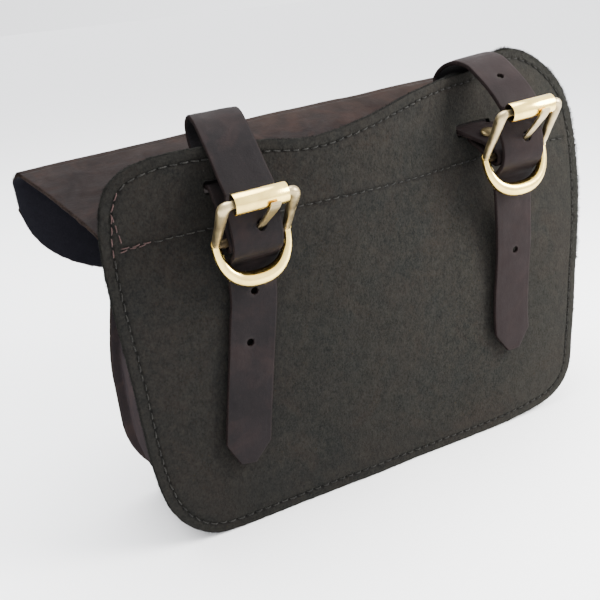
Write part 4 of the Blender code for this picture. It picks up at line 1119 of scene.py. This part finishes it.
def build_strap(hanger):
    """One piece of leather from the folded end to the tail's tip, with its holes cut."""
    route, fold_end = strap_route(hanger)
    points = route[:, :3]
    tangent = unit(np.gradient(points, axis=0))
    wide = unit(route[:, 3:] - tangent * np.sum(route[:, 3:] * tangent, axis=1)[:, None])
    normal = np.cross(wide, tangent)
    at = lengths_along(points)
    edge_r = 0.45
    half = np.full(len(points), STRAP_W / 2 - edge_r)
    tip = np.clip((at - (at[-1] - TIP_LENGTH)) / TIP_LENGTH, 0, 1)
    half = half + (TIP_HALF_W - STRAP_W / 2) * tip
    # hand-cut sides wander a little
    half = half + 0.18 * wobble(points, 30.0, 2, 2.5)
    share = np.linspace(-1, 1, STRAP_COLUMNS)
    mid = points[:, None, :] + wide[:, None, :] * (share[None, :] * half[:, None])[..., None]
    normals = np.repeat(normal[:, None, :], len(share), axis=1)
    relief = 0.10 * wobble(mid, 11.0, 3, 6.0) - 0.22 * np.abs(share[None, :]) ** 6
    # the grain side's edges are creased with a hot line
    crease = np.exp(-((np.abs(share[None, :]) * half[:, None] - (STRAP_W / 2 - 2.6)) / 0.55) ** 2)
    relief = relief - 0.10 * crease
    verts, faces, kinds, edge = leather_sheet(mid, normals, STRAP_T, edge_r, rough=0.06,
                                              puff=relief)
    kinds = np.asarray(kinds)
    # both faces of the folded end show smooth leather; elsewhere the inside is the flesh side
    count = len(points) * len(share)
    outer = np.arange(len(verts)) < count
    row_of = np.full(len(verts), -1)
    row_of[count:2 * count] = np.repeat(np.arange(len(points)), len(share))
    first = np.array([f[0] for f in faces])
    folded = (kinds == 1) & (at[np.clip(row_of[first], 0, None)] < fold_end)
    kinds[folded] = 0
    hole_rim_highlight = np.zeros(len(verts))
    marks = []
    search = np.where(at > at[-1] * 0.45)[0]     # the strap's own holes are in its later part
    for x, z in hanger.holes:
        near = search[np.argmin((points[search, 0] - x) ** 2 + (points[search, 2] - z) ** 2)]
        centre = points[near].copy()
        centre[0] = x
        marks.append((centre, Vector(wide[near]), Vector(tangent[near]), Vector(normal[near])))
        far = np.linalg.norm(verts - centre, axis=1)
        # a painted highlight ring round each hole
        ring = np.exp(-((far - HOLE_R) / 1.0) ** 2)
        hole_rim_highlight = np.maximum(hole_rim_highlight, ring)
        verts[outer] -= normal[near] * (0.35 * np.exp(-((far - HOLE_R) / 1.1) ** 2))[outer, None]
    strap = make(f"strap_{hanger.side}_leather", verts, faces, (STRAP, STRAP_BACK, STRAP_EDGE),
                 kinds, masks={"edge": edge, "hole": hole_rim_highlight}, slot="strap_leather",
                 replaces=(f"strap_{hanger.side}",))
    cutters = [cutter_rod(HOLE_R, 9, axes_matrix(s, t, n, Vector(c)), STRAP_EDGE)
               for c, s, t, n in marks]
    across = hanger.outward.cross(hanger.along).normalized()
    slot_at = hanger.bar + hanger.width_hint * TONGUE_X
    cutters.append(cutter_slot(across, hanger.along, hanger.outward, slot_at, STRAP_EDGE))
    hole_x = TONGUE_X + TONGUE_SKEW * (TONGUE_HOLE_AT - BAR_R)
    aim = Vector(TONGUE_AIM)
    at_hole = hanger.pose @ Vector((hole_x, aim.y * TONGUE_HOLE_AT, aim.z * TONGUE_HOLE_AT))
    hole_axes = [hanger.pose.to_3x3() @ Vector(v) for v in ((1, 0, 0), TONGUE_UP, TONGUE_AIM)]
    cutters.append(cutter_rod(TONGUE_HOLE_R, 8, axes_matrix(*hole_axes, at_hole), STRAP_EDGE))
    cut(strap, cutters)


# ---- metal ------------------------------------------------------------------------
def metal(name, verts, faces, mat, sharp=40, **kept):
    make(name, verts, faces, mat, slot="antique_brass", sharp=sharp, **kept)


def build_rivet(hanger):
    """The rivet that closes the strap's fold: a domed cap, and a post with a rolled base."""
    across = hanger.outward.cross(hanger.along).normalized()
    at = hanger.bar - hanger.along * hanger.rivet_at + hanger.width_hint * hanger.rivet_side
    frame_at = axes_matrix(across, hanger.along, hanger.outward, at)
    top = HALF_FOLD + 0.35 + STRAP_T / 2 + GAP
    rim = top + 0.15
    cap = [(RIVET_CAP_R - 0.35, rim), (RIVET_CAP_R, rim + 0.2), (RIVET_CAP_R, rim + 0.5),
           (RIVET_CAP_R - 0.25, rim + 0.8)]
    for k in range(1, 8):
        a = radians(90) * k / 7
        cap.append(((RIVET_CAP_R - 0.3) * cos(a) if k < 7 else 0, rim + 0.8 + 1.15 * sin(a)))
    cap += [(0, rim + 0.1), (RIVET_CAP_R - 1.4, rim + 0.1)]
    verts, faces = lathe_mesh(cap, 40, frame_at)
    metal(f"rivet_cap_{hanger.side}_metal", verts, faces, DULL,
          replaces=(f"rivet_cap_{hanger.side}",))
    base = -top - 0.05
    post = [(0, top), (1.6, top), (1.6, base), (3.4, base), (3.7, base - 0.3),
            (3.4, base - 0.8), (2.2, base - 0.95), (1.9, base - 0.6), (0, base - 0.5)]
    verts, faces = lathe_mesh(post, 32, frame_at)
    metal(f"rivet_post_{hanger.side}_metal", verts, faces, DULL,
          replaces=(f"rivet_post_{hanger.side}",))


def painted_shade(verts, line, middle):
    """How far each point of a wire faces inwards or back: a painted shade and dark reflection
    there.
    """
    centre = np.repeat(line[:, :3], len(verts) // len(line), axis=0)
    out = unit(verts - centre)
    facing = (out * unit(np.asarray(middle) - centre)).sum(axis=1)
    return np.clip(0.9 * facing - 0.5 * out[:, 1] - 0.05, 0, 1)


def build_buckle(hanger):
    """The frame: a bent wire, a round ring below and the bar that the strap holds."""
    side = hanger.side
    body = f"buckle_{side}"
    # the bent wire: up one side, across as the roller's bar, and down the other
    key = []
    for x, share, radius in ((-BAR_HALF, 0.03, 2.15), (-BAR_HALF, 0.22, 2.2),
                             (-BAR_HALF + 0.3, 0.5, 2.4), (-ROLLER_BAR_HALF - 0.5, 0.78, 2.75),
                             (-ROLLER_BAR_HALF - 0.2, 0.92, 2.8),
                             (-ROLLER_BAR_HALF + 1.2, 0.985, 2.45),
                             (-ROLLER_HALF - 0.6, 1.0, 1.9), (-ROLLER_HALF * 0.6, 1.0, 1.7)):
        key.append((x, ROLLER_Y * share, ROLLER_Z * share, radius))
    key += [(-x, y, z, r) for x, y, z, r in reversed(key)]
    line = resample(spline(key, 10), spacing=0.6)
    verts, faces = tube_mesh(line[:, :3], line[:, 3], 20)
    # painted shade on the wire's sides that face inwards or back
    painted_shade_mask = painted_shade(verts, line, (0, ROLLER_Y * 0.5, ROLLER_Z * 0.5))
    metal(f"buckle_wire_{side}_metal", hanger.placed(verts), faces, ANTIQUE, body=body,
          sharp=60, masks={"painted_shade": painted_shade_mask}, replaces=(f"buckle_frame_{side}",))

    # the cast ring below, whose ends sleeve the wire
    key = []
    for k in range(25):
        a = pi * k / 24
        x = -BAR_HALF * abs(cos(a)) ** 0.85 * (1 if a < pi / 2 else -1)
        thick = RING_END_R + (RING_R - RING_END_R) * abs(sin(a)) ** 2.2
        key.append((x, -0.1, -RING_DROP * abs(sin(a)) ** 0.85, thick))
    tip = (BAR_HALF, 0.9, 0.8, RING_END_R)
    key = [(-tip[0], *tip[1:])] + key + [tip]
    line = resample(spline(key, 6), spacing=0.6)
    verts, faces = tube_mesh(line[:, :3], line[:, 3], 24)
    # painted shade on the ring's sides that face inwards or back
    metal(f"buckle_ring_{side}_metal", hanger.placed(verts), faces, BRIGHT, body=body,
          sharp=50, masks={"painted_shade": painted_shade(verts, line, (0, 0, 0))})

    # the bar: dark brass, tarnish with painted shade
    verts, faces = lathe_mesh(rod_profile(BAR_R, BAR_HALF), 24, hanger.pose @ ALONG_BAR)
    metal(f"buckle_bar_{side}_metal", verts, faces, TARNISH_AND_SHADE, body=body, sharp=50)


def build_roller(hanger):
    """Sheet brass rolled to a tube, with its seam below."""
    wall = 0.85
    turns = 64
    seam_at = radians(-78)
    gap = radians(5)
    angle = seam_at + gap / 2 + (2 * pi - gap) * np.arange(turns + 1) / turns
    section = [(ROLLER_R - 0.12, -ROLLER_HALF), (ROLLER_R, -ROLLER_HALF + 0.2),
               (ROLLER_R, ROLLER_HALF - 0.2), (ROLLER_R - 0.12, ROLLER_HALF),
               (ROLLER_R - wall, ROLLER_HALF), (ROLLER_R - wall, -ROLLER_HALF)]
    verts, faces = swept([[(h, ROLLER_Y + r * cos(a), ROLLER_Z + r * sin(a)) for r, h in section]
                          for a in angle])
    # in each ring of faces the fourth is one end of the tube and the fifth its inside: dark brass,
    # tarnish with painted shade
    kinds = [1 if k % len(section) in (3, 4) else 0 for k in range(turns * len(section))] + [0, 0]
    piece = f"roller_{hanger.side}"
    metal(f"{piece}_metal", hanger.placed(verts), faces, (BRIGHT, TARNISH_AND_SHADE), face_mats=kinds,
          body=f"{piece}_body", replaces=(piece,))


def build_tongue(hanger):
    """A flat strip rolled round the centre bar at one end."""
    eye_r = BAR_R + 0.35
    half_w = 1.9
    aim, up = np.array(TONGUE_AIM), np.array(TONGUE_UP)
    key = [(eye_r + 0.2, 0.3, 1.8, 0.8), (8, 0.1, 1.8, 0.8), (14, 0.0, 1.75, 0.8),
           (22, 0.1, 2.0, 0.85), (TONGUE_LENGTH - 8, 0.2, 2.4, 0.85),
           (TONGUE_LENGTH - 4, 0.5, 2.5, 0.8), (TONGUE_LENGTH - 0.4, 1.7, 2.2, 0.6)]
    line = resample(np.array([(d, lift, 0, w, t) for d, lift, w, t in key]), count=48)
    line = resample(spline(line[::4], 6), count=52)
    rings = []
    corner = 0.35
    for d, lift, _, w, t in line:
        centre = aim * d + up * lift
        centre = centre + np.array((TONGUE_X + TONGUE_SKEW * (d - eye_r), 0, 0))
        outline = [(w, t - corner), (w - corner, t), (-w + corner, t), (-w, t - corner),
                   (-w, -t + corner), (-w + corner, -t), (w - corner, -t), (w, -t + corner)]
        rings.append([centre + np.array((a, 0, 0)) + up * b for a, b in outline])
    verts, faces = swept(rings)
    piece = f"tongue_{hanger.side}"
    metal(f"{piece}_metal", hanger.placed(verts), faces, ANTIQUE, body=f"{piece}_body",
          replaces=(piece,))
    eye = [(eye_r + 1.3, TONGUE_X - half_w + 0.3), (eye_r + 1.3, TONGUE_X + half_w - 0.3),
           (eye_r + 1.0, TONGUE_X + half_w), (eye_r, TONGUE_X + half_w),
           (eye_r, TONGUE_X - half_w), (eye_r + 1.0, TONGUE_X - half_w)]
    verts, faces = lathe_mesh(eye, 32, hanger.pose @ ALONG_BAR)
    metal(f"tongue_eye_{hanger.side}_metal", verts, faces, ANTIQUE, body=f"{piece}_body")


# ---- sewing -----------------------------------------------------------------------
def stitches(name, holes, face_y, outwards, closed=False, replaces=(), red=None, fill=0.68):
    """Separate stitches from hole to hole along a row of (x, z) holes on a face."""
    verts, faces, kinds = [], [], []
    count = len(holes) if closed else len(holes) - 1
    sides, steps = 7, 8
    for k in range(count):
        a, b = np.array(holes[k]), np.array(holes[(k + 1) % len(holes)])
        middle = (a + b) / 2
        span = (b - a) * (fill + RNG.uniform(-0.06, 0.05))
        sideways = unit((-span[1], span[0]))
        slip = sideways * RNG.normal(0, 0.16)
        tilt = sideways * RNG.normal(0, 0.14)
        height = STITCH_LIFT + RNG.uniform(-0.08, 0.10)
        pts = []
        for i in range(steps):
            t = i / (steps - 1)
            p = middle + span * (t - 0.5) + slip + tilt * (2 * t - 1)
            rise = height * sin(pi * t) ** 0.55 - 0.55 * (1 - sin(pi * t) ** 0.4)
            y = float(face_y(p[0], p[1])) + outwards * rise
            pts.append((p[0], y, p[1]))
        radii = np.array([STITCH_R * (0.72 + 0.28 * sin(pi * i / (steps - 1)) ** 0.5)
                          for i in range(steps)]) * RNG.uniform(0.92, 1.08)
        v, f = tube_mesh(pts, radii, sides)
        start = sum(len(x) for x in verts)
        verts.append(v)
        faces += [[i + start for i in face] for face in f]
        kinds += [1 if red is not None and red(*middle) else 0] * len(f)
    make(name, np.vstack(verts), faces, (THREAD, THREAD_RED), kinds, slot="thread",
         replaces=replaces)


def build_sewing():
    """All the stitches, in the order in which they draw from RNG."""
    def red_edge(x, z):
        """Rust-coloured thread where the left side was sewn again."""
        return x > 128 and 158 < z < 189

    def red_line(x, _):
        return x > 124

    stitches("back_seam_thread", BACK_SEAM, lean, 1, closed=True, red=red_edge,
             replaces=("thread_back_seam",))
    stitches("flap_seam_thread", FLAP_SEAM, lean, 1, red=red_line,
             replaces=("thread_flap_seam",))
    # the sewing goes back over its first stitches at the left
    again = np.stack((np.linspace(139.5, 126.0, 4), np.linspace(163.0, 163.4, 4)), axis=1)
    stitches("flap_seam_backstitch", again, lean, 1, red=red_line, fill=0.7)
    up = np.stack((np.linspace(137.6, 139.8, 4), np.linspace(166.0, 181.0, 4)), axis=1)
    stitches("edge_backstitch", up, lean, 1, red=lambda x, z: True, fill=0.75)
    line = inset(front_u(900), -STITCH_INSET, closed=False)[8:-8]
    holes = resample(line, spacing=STITCH_PITCH)
    stitches("front_seam_thread", holes, lambda x, z: front(x, z) - PANEL_T / 2, -1,
             replaces=("thread_front_seam",))
    stitches("margin_seam_thread", FLAP_SEAM[1:-2], lambda x, z: seam_y(x, z) - FLAP_T, -1)


def build_fuzz():
    """Loose fibres along the suede's cut edge."""
    loop = back_outline(2400)
    away = away_from(loop)
    roots = rows_of(loop[:, 0], lean(loop[:, 0], loop[:, 1]) - PANEL_T / 2, loop[:, 1])
    clear = roots[:, 2] > 1.5
    torn = (roots[:, 0] < -60) & (roots[:, 2] > 90)
    verts, faces = fibres(roots[clear] - away[clear] * 0.35, away[clear], (0, 1, 0), PANEL_T,
                          SUEDE_FIBRES, (0.5, 1.5))
    make("suede_edge_fibres", verts, faces, SUEDE_EDGE, slot="suede")
    verts, faces = fibres(roots[torn] - away[torn] * 0.5, away[torn], (0, 1, 0), PANEL_T + 1,
                          TORN_FIBRES, (0.8, 2.2))
    make("torn_edge_fibres", verts, faces, SUEDE_EDGE, slot="suede")


build_back_panel()
build_lining()
build_front_panel()
build_gusset()
build_flap()
for each in HANGERS:
    build_strap(each)
    build_rivet(each)
    build_buckle(each)
    build_roller(each)
    build_tongue(each)
build_sewing()
build_fuzz()


# ---- floor, light and camera ------------------------------------------------------
def build_stage():
    """A pale floor, and a soft sky that is brightest to the right of the view."""
    pale = Shader("pale_floor", Base_Color=(0.96, 0.96, 0.96, 1), Roughness=0.9)
    bpy.ops.mesh.primitive_plane_add(size=200, location=(0, 0, -0.0002))
    floor_plane = bpy.context.object
    floor_plane.name = "floor"
    floor_plane.data.materials.append(pale.mat)
    world = bpy.data.worlds.new("studio")
    world.use_nodes = True
    tree = world.node_tree
    sky = tree.nodes["Background"]
    sky.inputs["Color"].default_value = (0.96, 0.97, 1.0, 1)
    place = tree.nodes.new("ShaderNodeTexCoord")
    toward = tree.nodes.new("ShaderNodeVectorMath")
    toward.operation = "DOT_PRODUCT"
    toward.inputs[1].default_value = (-0.90, 0.43, 0.0)
    level = tree.nodes.new("ShaderNodeMapRange")
    for socket, bound in (("From Min", -1.0), ("To Min", 1.3), ("To Max", 3.9)):
        level.inputs[socket].default_value = bound
    tree.links.new(place.outputs["Generated"], toward.inputs[0])
    tree.links.new(toward.outputs["Value"], level.inputs["Value"])
    tree.links.new(level.outputs["Result"], sky.inputs["Strength"])
    bpy.context.scene.world = world


def area_light(name, place, aim, size, power, color=(1, 1, 1)):
    light = bpy.data.lights.new(name, "AREA")
    light.shape = "DISK"
    light.size = size
    light.energy = power
    light.color = color
    obj = bpy.data.objects.new(name, light)
    obj.location = place
    obj.rotation_mode = "QUATERNION"
    obj.rotation_quaternion = (Vector(aim) - Vector(place)).to_track_quat("-Z", "Y")
    bpy.context.scene.collection.objects.link(obj)


def build_camera():
    """The photo's camera, fitted to the bag's outline."""
    data = bpy.data.cameras.new("camera")
    data.lens = 49.2
    data.sensor_width = 36
    cam = bpy.data.objects.new("camera", data)
    right = Vector((-0.8811, 0.4609, -0.1061)).normalized()
    back = Vector((0.4030, 0.8490, 0.3417)).normalized()
    up = back.cross(right).normalized()
    right = up.cross(back)
    cam.matrix_world = axes_matrix(right, up, back, Vector((0.2215, 0.3801, 0.2601)))
    bpy.context.scene.collection.objects.link(cam)
    bpy.context.scene.camera = cam


build_stage()
CENTRE = (0, 0, 0.11)
area_light("key", (-0.42, 0.36, 0.42), CENTRE, 0.34, 11.5, (1.0, 0.985, 0.96))
area_light("overhead", (0.1, -0.2, 1.3), CENTRE, 1.2, 38, (0.98, 0.99, 1.0))
build_camera()
